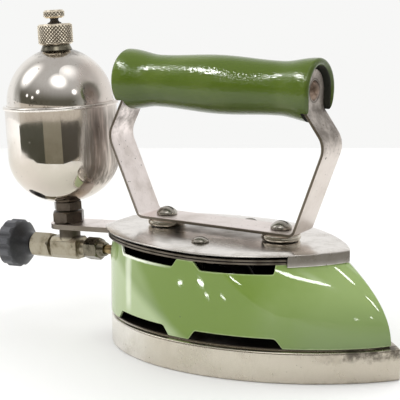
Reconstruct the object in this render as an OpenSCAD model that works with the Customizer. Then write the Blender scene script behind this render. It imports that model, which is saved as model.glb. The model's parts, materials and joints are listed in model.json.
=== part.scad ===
// Gasoline pressing iron: a cast sole, an enamelled burner housing, a wooden grip on a steel strap,
// and a pressure tank with its needle valve on a bracket at the rear.
// Origin: on the pressing face, at the widest section of the sole.
// +X points to the tip, +Z up, and the iron is alike on both sides of the XZ plane.

/* [Sole plate] */
// Width of the sole at its widest section
sole_w = 99; // [88:1:112]
// Widest section to the tip
sole_front = 104.3; // [95:0.1:118]
// Widest section to the heel
sole_rear = 73; // [66:0.5:84]
// Thickness of the sole casting
sole_t = 17; // [12:0.5:22]
// Taper of the sole sides towards the tip: 1 is an ellipse, 2 a sharp parabola
sole_taper = 1.75; // [1.5:0.05:1.9]
// Height of the raised seat that carries the housing
seat_h = 1; // [0.6:0.1:2]

/* [Burner housing] */
// Bare ledge of the sole beside the housing
ledge_side = 3.5; // [1.5:0.5:6]
// Bare ledge of the sole ahead of the housing
ledge_tip = 5.5; // [4:0.1:9]
// Length by which the housing overhangs the heel
heel_overhang = 1.5; // [0.5:0.1:3]
// Height of the housing
shell_h = 43.3; // [40:0.1:48]
// Length by which the nose leans back over the height of the housing
nose_rake = 27.8; // [20:0.1:32]
// Wall of the housing
shell_wall = 1.2; // [0.9:0.1:1.8]

/* [Vents] */
// Middle of the solid web between the upper vents, along X
upper_web_x = -0.5; // [-3:0.5:2]
// Width of the web between the upper vents
upper_web = 10; // [8:0.5:18]
// Length of the rear upper vents
upper_rear_len = 46; // [34:0.5:48]
// Length of the front upper vents
upper_front_len = 42; // [28:0.5:44]
// Depth of the upper vents
upper_vent_h = 4.8; // [2.5:0.1:6]
// Middle of the solid web between the lower vents, along X
lower_web_x = -4.8; // [-8:0.1:2]
// Width of the web between the lower vents
lower_web = 13; // [10:0.1:20]
// Length of the rear lower vents
lower_rear_len = 41.5; // [34:0.5:46]
// Length of the front lower vents
lower_front_len = 51; // [38:0.5:54]
// Height of the lower vents
lower_vent_h = 5.2; // [3:0.1:7]

/* [Heat shields and cover] */
// Thickness of each heat shield
shield_t = 1.1; // [0.7:0.1:1.5]
// Thickness of the insulating sheet between the shields
sheet_t = 0.5; // [0.3:0.1:1]
// Air gap between the upper shield and the cover
cover_gap = 1.7; // [1.2:0.1:3]
// Thickness of the cover plate
cover_t = 1.6; // [1.4:0.1:3]
// Overhang of the cover beyond the housing at the sides
cover_overhang = 1.7; // [1:0.1:3]
// Overhang of the cover beyond the housing's upper nose
cover_nose = 2.9; // [2.9:0.1:5]
// Overhang of the cover beyond the housing's heel, before the tail is cut
cover_heel = 3; // [2.5:0.1:5]
// Length cut square off the cover's tail
tail_cut = 3.2; // [1.5:0.1:5]
// Width of the sloping margin of the cover
cover_margin = 5.5; // [3:0.5:9]
// Drop of the sloping margin
cover_drop = 0.8; // [0.4:0.1:1]
// Start of the nose skirt, along X
skirt_x = 51; // [48:0.5:58]
// Length by which the skirt laps over the housing
skirt_lap = 1.3; // [0.5:0.1:1.6]

/* [Handle] */
// Middle of the handle, along X
handle_x = -6.3; // [-10:0.1:-2]
// Width of the strap
strap_w = 22.2; // [18:0.1:24]
// Thickness of the strap
strap_t = 1.8; // [1.5:0.1:2.6]
// Middle of the handle to the foot corner of the strap
strap_foot = 49.4; // [45:0.1:54]
// Middle of the handle to the elbow of the strap
strap_elbow = 68.7; // [64:0.1:74]
// Height of the elbow above the foot of the strap
elbow_h = 47.6; // [42:0.1:54]
// Forward shift of the strap's foot against the grip
strap_skew = 2.1; // [0:0.1:3]
// Height of the strap spacers
spacer_h = 4.4; // [3:0.1:8]
// Diameter of the strap spacers
spacer_d = 22; // [18:0.5:24]
// Distance between the strap screws
strap_pitch = 74; // [66:0.5:80]
// Height of the grip's axis above the pressing face
grip_z = 149.9; // [135:0.1:165]
// Length of the grip
grip_len = 130.2; // [124:0.1:136]
// Diameter of the grip at its ends and middle
grip_d = 32.4; // [30:0.1:38]
// Diameter of the grip at its two necks
neck_d = 29.2; // [27:0.1:30]
// Depth of the strap's recess in each end of the grip
recess_depth = 9.1; // [7:0.1:11]

/* [Fasteners] */
// Diameter of the strap screws
strap_screw_d = 5; // [4:0.5:6]
// Diameter of the body bolts
bolt_d = 5; // [4:0.5:6]
// Body bolts, along X
bolt_x = -2; // [-8:0.1:4]
// Body bolts, from the middle plane
bolt_y = 27.5; // [20:0.1:32]
// Diameter of the handle rod
rod_d = 5; // [4:0.5:7]
// Radial clearance of screws and pins in their holes
hole_gap = 0.15; // [0.1:0.05:0.3]

/* [Bracket and tank] */
// Width of the bracket
bracket_w = 22; // [20:0.5:26]
// Thickness of the bracket
bracket_t = 3; // [2.4:0.1:3.4]
// Bend of the bracket under the cover, along X
bend_x = -58; // [-62:0.5:-54]
// Downward slope of the bracket behind the cover, in degrees
rear_tilt = 3.7; // [0.5:0.1:6]
// Bend of the bracket to the tank's axis
bracket_reach = 54.1; // [52:0.1:66]
// Outer diameter of the bowl
bowl_d = 66.8; // [56:0.2:70]
// Height of the bowl's rounded bottom
bowl_round_h = 28.5; // [22:0.5:34]
// Height of the bowl
bowl_h = 59; // [45:0.5:66]
// Height of the dome
dome_h = 32.5; // [26:0.5:40]
// Step from the bowl's side in to the dome
dome_step = 1.5; // [1.5:0.1:3]
// Width of the rolled rim that stands out round the bowl
rim_w = 1.1; // [0.6:0.1:2]
// Sheet thickness of the tank
tank_wall = 0.9; // [0.6:0.1:1.4]
// Diameter of the threaded stem under the tank
neck_thread_d = 12; // [10:0.2:13]

/* [Filler] */
// Diameter of the filler neck
filler_d = 16.6; // [14:0.1:18]
// Diameter of the filler cap
cap_d = 20.7; // [20.2:0.1:24]
// Height of the filler cap
cap_h = 12.1; // [11:0.1:16]
// Diameter of the air screw's head
air_head_d = 12.6; // [10:0.1:18]
// Height of the air screw's head
air_head_h = 4.7; // [3:0.1:7]
// Diameter of the air screw's stem
air_stem_d = 4.4; // [3.4:0.1:5]
// Height of the air screw's seal
seal_h = 3.4; // [2:0.1:5]

/* [Valve] */
// Bracket's underside down to the valve's axis
valve_drop = 12.6; // [11:0.1:16]
// Side of the square valve body
valve_side = 13; // [12:0.1:15]
// Length of the valve body
valve_len = 19.4; // [17:0.1:24]
// Diameter of the valve stem
stem_d = 4.4; // [3.6:0.1:5]
// Across flats of the packing nut
packing_af = 14; // [13.4:0.1:18]
// Length of the packing nut
packing_len = 14; // [12:0.5:18]
// Diameter of the valve knob
knob_d = 29.5; // [24:0.5:34]
// Width of the knob's fluted rim
knob_rim = 10; // [7:0.5:13]
// Number of flutes round the knob
knob_flutes = 12; // [8:1:18]
// Across flats of the union nut
union_af = 12; // [11.6:0.1:15]
// Length of the union nut's hexagon
union_len = 9.5; // [8:0.5:13]

/* [Burner] */
// Outer diameter of the generator tube
tube_d = 5.6; // [4.6:0.1:6.2]
// Outer diameter of the mixing elbow
elbow_d = 9; // [8:0.1:9.4]
// Middle of the burner to each of its end screws
burner_half = 40; // [36:0.5:44]
// Width of the burner
burner_w = 20; // [16:0.5:20.5]
// Height of the burner
burner_h = 13; // [10:0.5:14]
// Flame ports along each side of the burner
port_count = 13; // [8:1:18]

/* [Hidden] */
$fn = 64;
eps = 0.01;
cut_over = 1;
face_gap = 0.05;
running_gap = 0.1;
loose_gap = 0.3;
outline_steps = 22;
arc_steps = 8;

// Heights of the stacked plates
shell_z = sole_t + seat_h;
shield_z = shell_z + shell_h;
sheet_z = shield_z + shield_t;
upper_shield_z = sheet_z + sheet_t;
stack_top = upper_shield_z + shield_t;
bracket_z = shield_z;
bracket_top = bracket_z + bracket_t;
cover_z = max(stack_top, bracket_top) + cover_gap;
cover_top = cover_z + cover_t;
strap_z = cover_top + spacer_h;

// Plan sizes of the housing and cover
shell_half = sole_w / 2 - ledge_side;
nose_foot = sole_front - ledge_tip;
nose_top = nose_foot - nose_rake;
shell_rear = sole_rear + heel_overhang;
nose_taper = 1.65;
shell_top_heel = 1.25;
heel_turn_h = 12;
seat_inset = 0.5;
seat_width = 5;
cover_half = shell_half + cover_overhang;
cover_front = nose_top + cover_nose;
cover_rear = shell_rear + cover_heel;
skirt_wall = 1.2;
shield_inset = 1.5;
sheet_inset = 5;
vent_slope = 0.7;
vent_corner = 1.2;

// Screws, nuts and holes
rear_screw_x = handle_x + strap_skew - strap_pitch / 2;
front_screw_x = handle_x + strap_skew + strap_pitch / 2;
screw_head_d = 11.8;
screw_head_h = 4.2;
slot_w = 1.4;
slot_depth = 1.6;
strap_nut_af = 9;
strap_nut_h = 4;
bolt_head_d = 9.5;
bolt_head_h = 2.6;
bolt_boss_d = 11;
bolt_boss_h = 7;
bolt_grip = 6;
washer_d = 12;
rod_head_d = 11;
rod_head_h = 2.4;
bolt_slot_turn = 20;

// Bends of the strap and shape of the grip
foot_bend_r = 4;
elbow_bend_r = 12;
top_bend_r = 6;
strap_end = grip_len / 2 - recess_depth + strap_t / 2;
grip_end_r = 9;
grip_neck_share = 0.31;

// Rear assembly, in the frame that leans back with the bracket
tank_x = -bracket_reach;
lock_nut_af = 17.4;
lock_nut_h = 7;
boss_gap = 0.8;
boss_af = 15.4;
boss_h = 4.4;
boss_z = bracket_t + lock_nut_h + boss_gap;
tank_z = boss_z + boss_h;
boss_overlap = 0.4;
bowl_hole_d = neck_thread_d + 2.4;
boss_spigot = 2.5;
boss_turn = 15;
seam_z = tank_z + bowl_h;
bead_h = 2.4;
dome_d = bowl_d - 2 * dome_step;
dome_base = seam_z + bead_h / 2;
dome_top = dome_base + dome_h;
filler_hole_d = filler_d - 1.6;
neck_flare = 1.2;
neck_rise = 2;
neck_tail = 6;
cap_z = dome_top + neck_rise;
cap_roof = 3;
cap_bore_d = filler_d - 0.8;
gasket_t = 1.6;
neck_bore_d = filler_d - 5;
cap_chamfer = 1.3;
seal_d = 8.6;
seal_top_d = 6.4;
air_tip_h = 4;

// Valve line, along the leaning frame's X
valve_z = -valve_drop;
body_lead = 1.3;
body_front = tank_x + valve_len / 2 - body_lead;
body_rear = body_front - valve_len;
body_chamfer = 2.4;
stub_len = 5;
rear_stub_d = 10.6;
front_stub_d = 9.4;
front_stub_len = 10;
shoulder_len = 2;
packing_front = body_rear - shoulder_len;
packing_rear = packing_front - packing_len;
packing_room = 2.6;
packing_turn = 10;
needle_tip = body_front - 1.5;
needle_len = 12;
needle_cone = 3.5;
chamber_d = stem_d + 2;
chamber_len = 7;
stem_front = needle_tip - needle_len - face_gap;
fuel_bore_d = 3;
hub_gap = 1.7;
hub_front = packing_rear - hub_gap;
hub_d = 12;
hub_len = 8.8;
rim_front = hub_front - hub_len;
rim_rear = rim_front - knob_rim;
flute_d = 5.4;
flute_depth = 1.3;
knob_recess_d = 12;
knob_recess = 2;
knob_screw_d = 2.2;
knob_head_d = 7.5;
knob_head_h = 2.2;
knob_screw_len = 9;
union_gap = 5;
union_rear = body_front + union_gap;
union_cone_len = 3.6;
union_cone_d = tube_d + 2.4;
ferrule_len = 2.4;

// Generator, elbow and burner
tube_front = 42.8;
tube_wall = 1;
jet_d = 0.8;
tip_af = 7;
tip_len = 4.5;
tip_nose = 3;
tip_nose_d = 3.6;
jet_gap = 2;
elbow_z = bracket_z + (tube_front + tip_len + tip_nose) * sin(rear_tilt) + valve_z * cos(rear_tilt);
elbow_mouth = bend_x + (tube_front + tip_len + tip_nose) * cos(rear_tilt)
    - valve_z * sin(rear_tilt) + jet_gap;
burner_foot_h = 2.5;
burner_z = shell_z + burner_foot_h;
burner_top = burner_z + burner_h;
socket_h = 2;
elbow_r = elbow_z - burner_top + socket_h;
elbow_x = elbow_mouth + elbow_r;
elbow_wall = 1;
burner_x = -8;
burner_wall = 2;
burner_screw_d = 4;
burner_head_d = 7;
burner_head_h = 2.4;
port_d = 2.4;

// Half of a lens-shaped plan outline, from the nose back along the +Y side to the tail.
// Each end follows w * cos(t)^taper against length * sin(t); cut ends the tail square.
function half_lens(w, front, front_taper, rear, rear_taper, cut) =
    let (end = asin(min(1, cut / rear)))
    concat(
        [for (i = [0 : outline_steps])
            let (t = 90 * i / outline_steps)
            [front * cos(t), w * pow(sin(t), front_taper)]],
        [for (i = [1 : outline_steps])
            let (t = end * i / outline_steps)
            [-rear * sin(t), w * pow(max(0, cos(t)), rear_taper)]]);

// The whole outline: the half and its mirror image, with no point twice.
function lens(w, front, front_taper, rear, rear_taper, cut) =
    let (half = half_lens(w, front, front_taper, rear, rear_taper, cut))
    let (last = len(half) - (cut < rear ? 1 : 2))
    concat(half, [for (i = [last : -1 : 1]) [half[i][0], -half[i][1]]]);

function sole_lens(inset) = lens(sole_w / 2 - inset, sole_front - inset, sole_taper,
    sole_rear - inset, 1, sole_rear - inset);

// Height of the housing's section as a share: 0 at its foot, 1 at its top.
function nose_x(share) = nose_foot - nose_rake * pow(share, 2);
function heel_taper(share) =
    let (turn = max(0, 1 - (1 - share) * shell_h / heel_turn_h))
    1 + (shell_top_heel - 1) * pow(turn, 2);
function shell_lens(share, inset) = lens(shell_half - inset, nose_x(share) - 1.5 * inset, nose_taper,
    shell_rear - inset, heel_taper(share), shell_rear - inset);

function cover_lens(inset) = lens(cover_half - inset, cover_front - inset, nose_taper,
    cover_rear - inset, 1, cover_rear - tail_cut - inset);

// Closed solid through a stack of outlines that all have the same number of points.
module loft(heights, outlines) {
    n = len(outlines[0]);
    last = len(heights) - 1;
    points = [for (k = [0 : last]) for (p = outlines[k]) [p[0], p[1], heights[k]]];
    walls = [for (k = [0 : last - 1]) for (i = [0 : n - 1])
        let (j = (i + 1) % n)
        each [[k * n + i, (k + 1) * n + i, k * n + j], [k * n + j, (k + 1) * n + i, (k + 1) * n + j]]];
    foot = [for (i = [0 : n - 1]) i];
    roof = [for (i = [n - 1 : -1 : 0]) last * n + i];
    polyhedron(points = points, faces = concat([foot], walls, [roof]));
}

// Fillet points of a corner between its two neighbours.
function corner_arc(before, corner, after, r) =
    let (u = (before - corner) / norm(before - corner))
    let (v = (after - corner) / norm(after - corner))
    let (half = acos(u * v) / 2)
    let (centre = corner + (u + v) / norm(u + v) * r / sin(half))
    let (start = corner + u * r / tan(half) - centre)
    let (turn = (u[0] * v[1] - u[1] * v[0] > 0 ? -1 : 1) * (180 - 2 * half))
    [for (i = [0 : arc_steps])
        let (a = turn * i / arc_steps)
        centre + [start[0] * cos(a) - start[1] * sin(a), start[0] * sin(a) + start[1] * cos(a)]];

function reversed(points) = [for (i = [len(points) - 1 : -1 : 0]) points[i]];

// Polyline with its inner corners rounded.
function rounded_path(points, radii) = concat([points[0]],
    [for (i = [1 : len(points) - 2]) each corner_arc(points[i - 1], points[i], points[i + 1], radii[i - 1])],
    [points[len(points) - 1]]);

// Sheet-metal strip of the given thickness along a path in the XZ plane, centred on Y.
module bent_strip(path, thickness, width) {
    last = len(path) - 1;
    function side(i) =
        let (d = path[min(i + 1, last)] - path[max(i - 1, 0)])
        [-d[1], d[0]] / norm(d);
    left = [for (i = [0 : last]) path[i] + side(i) * thickness / 2];
    right = [for (i = [last : -1 : 0]) path[i] - side(i) * thickness / 2];
    rotate([90, 0, 0])
        linear_extrude(width, center = true)
            polygon(concat(left, right));
}

// Cylinder along +X that starts at x.
module rod_x(x, length, d) {
    translate([x, 0, 0])
        rotate([0, 90, 0])
            cylinder(d = d, h = length);
}

// Hole along +Z from z = 0 that runs past both ends.
module bore(d, h) {
    translate([0, 0, -cut_over])
        cylinder(d = d, h = h + 2 * cut_over);
}

// Hole along +X that runs past both ends.
module bore_x(x, length, d) {
    rod_x(x - cut_over, length + 2 * cut_over, d);
}

// Hexagonal prism whose corners are turned off at both ends.
module hex_bar(af, h) {
    corner = af / cos(30) / 2;
    cut = corner - af / 2;
    intersection() {
        cylinder(r = corner, h = h, $fn = 6);
        rotate_extrude()
            polygon([[0, 0], [af / 2, 0], [corner, cut], [corner, h - cut], [af / 2, h], [0, h]]);
    }
}

// Slotted dome-headed screw with its seat at z = 0 and its shank below.
module slotted_screw(head_d, head_h, shank_d, shank_len) {
    rim = head_h / 4;
    dome = head_h - rim;
    r = (pow(head_d / 2, 2) + pow(dome, 2)) / (2 * dome);
    difference() {
        intersection() {
            cylinder(d = head_d, h = head_h);
            translate([0, 0, head_h - r])
                sphere(r);
        }
        translate([-head_d / 2, -slot_w / 2, head_h - slot_depth])
            cube([head_d, slot_w, slot_depth + eps]);
    }
    translate([0, 0, -shank_len])
        cylinder(d = shank_d, h = shank_len + eps);
}

// Children at both strap screws, in plan.
module at_strap_screws() {
    for (x = [rear_screw_x, front_screw_x])
        translate([x, 0, 0])
            children();
}

// Children at both body bolts, in plan.
module at_bolts() {
    for (side = [-1, 1])
        translate([bolt_x, side * bolt_y, 0])
            children();
}

// Children at both burner screws, in plan.
module at_burner_screws() {
    for (side = [-1, 1])
        translate([burner_x + side * burner_half, 0, 0])
            children();
}

// Children in the frame of the sloping bracket: origin at its bend, on its underside.
module rear_frame() {
    translate([bend_x, 0, bracket_z])
        rotate([0, -rear_tilt, 0])
            children();
}

// Children on the tank's axis.
module on_tank_axis() {
    rear_frame()
        translate([tank_x, 0, 0])
            children();
}

// Children on the valve's axis.
module on_valve_axis() {
    rear_frame()
        translate([0, 0, valve_z])
            children();
}

// Holes for the strap screws and body bolts through a plate.
module plate_holes(z, h) {
    translate([0, 0, z]) {
        at_strap_screws()
            bore(strap_screw_d + 2 * hole_gap, h);
        at_bolts()
            bore(bolt_d + 2 * hole_gap, h);
    }
}

// Room for the bracket, from its round front end back past the cover's tail.
module bracket_room() {
    w = bracket_w + 2 * loose_gap;
    translate([rear_screw_x, 0])
        circle(d = w);
    translate([rear_screw_x - cover_rear, -w / 2])
        square([cover_rear, w]);
}

// Shield or sheet with its screw holes, notched for the bracket.
module plate(z, h, outline) {
    difference() {
        translate([0, 0, z])
            linear_extrude(h)
                difference() {
                    polygon(outline);
                    bracket_room();
                }
        plate_holes(z, h);
    }
}

// Sole and housing

module sole_plate() {
    color("silver")
    difference() {
        union() {
            linear_extrude(sole_t)
                polygon(sole_lens(0));
            translate([0, 0, sole_t - eps])
                linear_extrude(seat_h + eps)
                    difference() {
                        polygon(shell_lens(0, seat_inset));
                        polygon(shell_lens(0, seat_inset + seat_width));
                    }
            translate([0, 0, sole_t - eps]) {
                at_bolts()
                    cylinder(d = bolt_boss_d, h = bolt_boss_h + eps);
                at_burner_screws()
                    cylinder(d = burner_w / 2, h = seat_h + burner_foot_h + eps);
            }
        }
        translate([0, 0, sole_t - bolt_grip]) {
            at_bolts()
                cylinder(d = bolt_d + 2 * hole_gap, h = bolt_grip + bolt_boss_h + cut_over);
            at_burner_screws()
                cylinder(d = burner_screw_d + 2 * hole_gap, h = bolt_grip + seat_h + burner_foot_h + cut_over);
        }
    }
}

// Side profile of one vent, open below: its ends slope in and its upper corners are rounded.
module vent(x, length, h) {
    slope = vent_slope * h;
    path = rounded_path([[0, 0], [slope, h], [length - slope, h], [length, 0]], [vent_corner, vent_corner]);
    translate([x, 0, 0])
        rotate([90, 0, 0])
            linear_extrude(sole_w, center = true)
                polygon(concat([[0, -cut_over]], path, [[length, -cut_over]]));
}

// Two vents on either side of a web.
module vent_pair(web_x, web, rear_len, front_len, h) {
    vent(web_x - web / 2 - rear_len, rear_len, h);
    vent(web_x + web / 2, front_len, h);
}

module body_shell() {
    shares = [0, 0.2, 0.4, 0.55, 0.7, 0.8, 0.9, 1];
    inner_shares = [0, 0.4, 0.7, 0.85, 1];
    heel_x = -shell_rear - bend_x;
    color("darkseagreen")
    difference() {
        loft([for (s = shares) shell_z + s * shell_h], [for (s = shares) shell_lens(s, 0)]);
        loft([for (s = inner_shares) shell_z - cut_over + s * (shell_h + 2 * cut_over)],
            [for (s = inner_shares) shell_lens(s, shell_wall)]);
        translate([0, 0, shell_z])
            vent_pair(lower_web_x, lower_web, lower_rear_len, lower_front_len, lower_vent_h);
        translate([0, 0, shield_z])
            mirror([0, 0, 1])
                vent_pair(upper_web_x, upper_web, upper_rear_len, upper_front_len, upper_vent_h);
        on_valve_axis()
            bore_x(heel_x, shell_rear / 4, tube_d + 2 * loose_gap);
        rear_frame()
            translate([heel_x - cut_over, -bracket_w / 2 - loose_gap, -loose_gap])
                cube([shell_rear / 4, bracket_w + 2 * loose_gap, shell_h]);
    }
}

// Heat shields and cover

module lower_heat_shield() {
    color("dimgray")
    plate(shield_z, shield_t, cover_lens(shield_inset));
}

module insulating_sheet() {
    color("lightgray")
    plate(sheet_z, sheet_t, cover_lens(sheet_inset));
}

module upper_heat_shield() {
    color("gray")
    plate(upper_shield_z, shield_t, cover_lens(shield_inset));
}

module top_cover() {
    skirt_z = shield_z - skirt_lap;
    edge_z = cover_top - cover_drop;
    color("lightgray")
    difference() {
        loft([skirt_z, edge_z, cover_top], [cover_lens(0), cover_lens(0), cover_lens(cover_margin)]);
        translate([0, 0, skirt_z - cut_over])
            linear_extrude(cover_z - skirt_z + cut_over) {
                polygon(cover_lens(skirt_wall));
                translate([skirt_x - 2 * cover_rear, -sole_w])
                    square([2 * cover_rear, 2 * sole_w]);
            }
        plate_holes(cover_z, cover_t);
    }
}

module spacer_washer(hole_d, h) {
    difference() {
        cylinder(d = washer_d, h = h);
        bore(hole_d + 2 * hole_gap, h);
    }
}

module cover_spacers() {
    color("silver") {
        translate([rear_screw_x, 0, bracket_top])
            spacer_washer(strap_screw_d, cover_z - bracket_top);
        translate([0, 0, stack_top]) {
            translate([front_screw_x, 0, 0])
                spacer_washer(strap_screw_d, cover_z - stack_top);
            at_bolts()
                spacer_washer(bolt_d, cover_z - stack_top);
        }
    }
}

// Handle

module strap_spacers() {
    edge = spacer_h / 2;
    color("silver")
    translate([0, 0, cover_top])
        at_strap_screws()
            difference() {
                union() {
                    cylinder(d = spacer_d - 2 * edge, h = spacer_h);
                    cylinder(d = spacer_d, h = spacer_h - edge);
                    translate([0, 0, spacer_h - edge])
                        rotate_extrude()
                            translate([spacer_d / 2 - edge, 0])
                                intersection() {
                                    circle(edge);
                                    square(edge);
                                }
                }
                bore(strap_screw_d + 2 * hole_gap, spacer_h);
            }
}

// One side of the strap's middle line, from the middle of its foot to its end in the grip.
// The skew moves the foot forward, so the front leg stands up steeper than the rear one.
function strap_side(side) =
    let (foot_z = strap_z + strap_t / 2)
    rounded_path([[strap_skew, foot_z],
        [side * strap_foot + strap_skew, foot_z],
        [side * strap_elbow + strap_skew / 2, foot_z + elbow_h + side * strap_skew],
        [side * strap_end, grip_z - neck_d / 3],
        [side * strap_end, grip_z + strap_w / 2]], [foot_bend_r, elbow_bend_r, top_bend_r]);

// Space below the round ends of the strap, for the strap itself and for the grip's recess.
module strap_end_space(gap) {
    rotate([0, 90, 0])
        cylinder(d = strap_w + 2 * gap, h = 2 * grip_len, center = true);
    translate([-grip_len, -strap_w / 2 - gap, -grip_z])
        cube([2 * grip_len, strap_w + 2 * gap, grip_z]);
}

module handle_strap() {
    front = strap_side(1);
    rear = strap_side(-1);
    path = concat(reversed(rear), [for (i = [1 : len(front) - 1]) front[i]]);
    color("silver")
    difference() {
        intersection() {
            translate([handle_x, 0, 0])
                bent_strip(path, strap_t, strap_w);
            translate([handle_x, 0, grip_z])
                strap_end_space(0);
        }
        translate([0, 0, strap_z])
            at_strap_screws()
                bore(strap_screw_d + 2 * hole_gap, strap_t);
        translate([handle_x, 0, grip_z])
            rotate([0, 90, 0])
                cylinder(d = rod_d + 2 * hole_gap, h = 2 * grip_len, center = true);
    }
}

module strap_screws() {
    color("gray")
    translate([0, 0, strap_z + strap_t])
        at_strap_screws()
            slotted_screw(screw_head_d, screw_head_h, strap_screw_d,
                strap_z + strap_t - shield_z + strap_nut_h);
}

module strap_nuts() {
    color("dimgray")
    translate([0, 0, shield_z - strap_nut_h])
        at_strap_screws()
            difference() {
                hex_bar(strap_nut_af, strap_nut_h);
                bore(strap_screw_d + 2 * hole_gap, strap_nut_h);
            }
}

module body_bolts() {
    color("gray")
    translate([0, 0, cover_top])
        at_bolts()
            rotate([0, 0, bolt_slot_turn])
                slotted_screw(bolt_head_d, bolt_head_h, bolt_d, cover_top - sole_t + bolt_grip - cut_over);
}

// The grip swells in the middle, narrows at two necks and is full and rounded at its ends.
module handle_grip() {
    neck_x = grip_len * grip_neck_share;
    end_x = grip_len / 2 - grip_end_r;
    wave = (grip_d - neck_d) / 4;
    steps = 14;
    swell = [for (i = [0 : steps]) [grip_d / 2 - wave + wave * cos(180 * i / steps), neck_x * i / steps]];
    flare = [for (i = [1 : steps])
        [grip_d / 2 - wave - wave * cos(180 * i / steps), neck_x + (end_x - neck_x) * i / steps]];
    corner = [for (i = [1 : arc_steps])
        let (a = 90 * i / arc_steps)
        [grip_d / 2 - grip_end_r + grip_end_r * cos(a), end_x + grip_end_r * sin(a)]];
    side = concat(swell, flare, corner);
    profile = concat([for (i = [len(side) - 1 : -1 : 1]) [side[i][0], -side[i][1]]], side);
    color("darkolivegreen")
    translate([handle_x, 0, grip_z])
        difference() {
            rotate([0, 90, 0])
                rotate_extrude()
                    polygon(concat([[0, -grip_len / 2]], profile, [[0, grip_len / 2]]));
            for (side = [0, 1])
                mirror([side, 0, 0])
                    intersection() {
                        translate([grip_len / 2 - recess_depth, -grip_d, -grip_d])
                            cube(2 * grip_d);
                        strap_end_space(loose_gap);
                    }
            rotate([0, 90, 0])
                cylinder(d = rod_d + 2 * hole_gap, h = 2 * grip_len, center = true);
        }
}

// Rod through the grip, riveted over to a low dome at both ends.
module handle_rod() {
    seat = grip_len / 2 - recess_depth + strap_t;
    r = (pow(rod_head_d / 2, 2) + pow(rod_head_h, 2)) / (2 * rod_head_h);
    sweep = asin(rod_head_d / 2 / r);
    head = [for (i = [0 : arc_steps])
        let (a = sweep * (1 - i / arc_steps))
        [r * sin(a), seat + rod_head_h - r + r * cos(a)]];
    half = concat([[rod_d / 2, seat]], head);
    color("gray")
    translate([handle_x, 0, grip_z])
        rotate([0, 90, 0])
            rotate_extrude()
                polygon(concat([for (p = reversed(half)) [p[0], -p[1]]], half));
}

// Bracket and tank

// Flat strip with round ends, screwed down under the cover and bent down to the tank.
module tank_bracket() {
    front = rear_screw_x - bend_x;
    mitre = bracket_t * tan(rear_tilt / 2);
    reach = bracket_reach + bracket_w;
    fall = [-cos(rear_tilt), -sin(rear_tilt)];
    top_shift = [-sin(rear_tilt), cos(rear_tilt)] * bracket_t;
    color("silver")
    difference() {
        intersection() {
            translate([bend_x, 0, bracket_z])
                rotate([90, 0, 0])
                    linear_extrude(bracket_w, center = true)
                        polygon([[front + bracket_w, 0], [front + bracket_w, bracket_t], [-mitre, bracket_t],
                            fall * reach + top_shift, fall * reach, [0, 0]]);
            union() {
                translate([rear_screw_x, 0, 0])
                    cylinder(d = bracket_w, h = 2 * bracket_z);
                on_tank_axis()
                    cylinder(d = bracket_w, h = bracket_z, center = true);
                translate([bend_x + tank_x * cos(rear_tilt), -bracket_w / 2, 0])
                    cube([front - tank_x * cos(rear_tilt), bracket_w, 2 * bracket_z]);
            }
        }
        plate_holes(bracket_z, bracket_t);
        on_tank_axis()
            cylinder(d = neck_thread_d + 2 * hole_gap, h = bracket_z, center = true);
    }
}

module lock_nut() {
    color("gray")
    on_tank_axis()
        translate([0, 0, bracket_t])
            difference() {
                hex_bar(lock_nut_af, lock_nut_h);
                bore(neck_thread_d + 2 * hole_gap, lock_nut_h);
            }
}

module tank_boss() {
    color("gray")
    on_tank_axis()
        translate([0, 0, boss_z])
            difference() {
                union() {
                    rotate([0, 0, boss_turn])
                        cylinder(d = boss_af / cos(30), h = boss_h + boss_overlap, $fn = 6);
                    cylinder(d = bowl_hole_d - 2 * running_gap, h = boss_h + boss_spigot);
                }
                translate([0, 0, -cut_over])
                    cylinder(d = neck_thread_d + 2 * hole_gap, h = boss_h + cut_over);
                bore(neck_thread_d / 2, boss_h + boss_spigot);
            }
}

// Points of a quarter ellipse from its pole down to its equator, seen from the axis out to r.
function quarter(r, h, start_r, steps = 14) =
    let (a0 = asin(start_r / r))
    [for (i = [0 : steps]) let (a = a0 + (90 - a0) * i / steps) [r * sin(a), h * cos(a)]];

// The bowl ends in a rolled rim that closes in on the dome.
module tank_bowl() {
    r = bowl_d / 2;
    round_z = tank_z + bowl_round_h;
    bead_r = bead_h / 2;
    outer = [for (p = quarter(r, bowl_round_h, bowl_hole_d / 2)) [p[0], round_z - p[1]]];
    inner = [for (p = quarter(r - tank_wall, bowl_round_h - tank_wall, bowl_hole_d / 2))
        [p[0], round_z - p[1]]];
    rim = [for (i = [-arc_steps : arc_steps])
        let (a = 90 * i / arc_steps)
        [r + rim_w - bead_r + bead_r * cos(a), seam_z + bead_r * sin(a)]];
    lip_r = dome_d / 2 + face_gap;
    lip = [[lip_r, seam_z + bead_r], [lip_r, seam_z - bead_r], [r - tank_wall, seam_z - bead_h]];
    color("silver")
    on_tank_axis()
        rotate_extrude()
            polygon(concat(outer, [[r, seam_z - bead_h]], rim, lip, reversed(inner)));
}

// The dome's edge reaches down through the bowl's rim.
module tank_dome() {
    r = dome_d / 2;
    foot = seam_z - bead_h;
    outer = [for (p = quarter(r, dome_h, filler_hole_d / 2)) [p[0], dome_base + p[1]]];
    inner = [for (p = quarter(r - tank_wall, dome_h - tank_wall, filler_hole_d / 2))
        [p[0], dome_base + p[1]]];
    color("silver")
    on_tank_axis()
        rotate_extrude()
            polygon(concat(outer, [[r, foot], [r - tank_wall, foot]], reversed(inner)));
}

// Height of the dome's surface at a radius.
function dome_at(r) = dome_base + dome_h * sqrt(1 - pow(2 * r / dome_d, 2));

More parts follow.
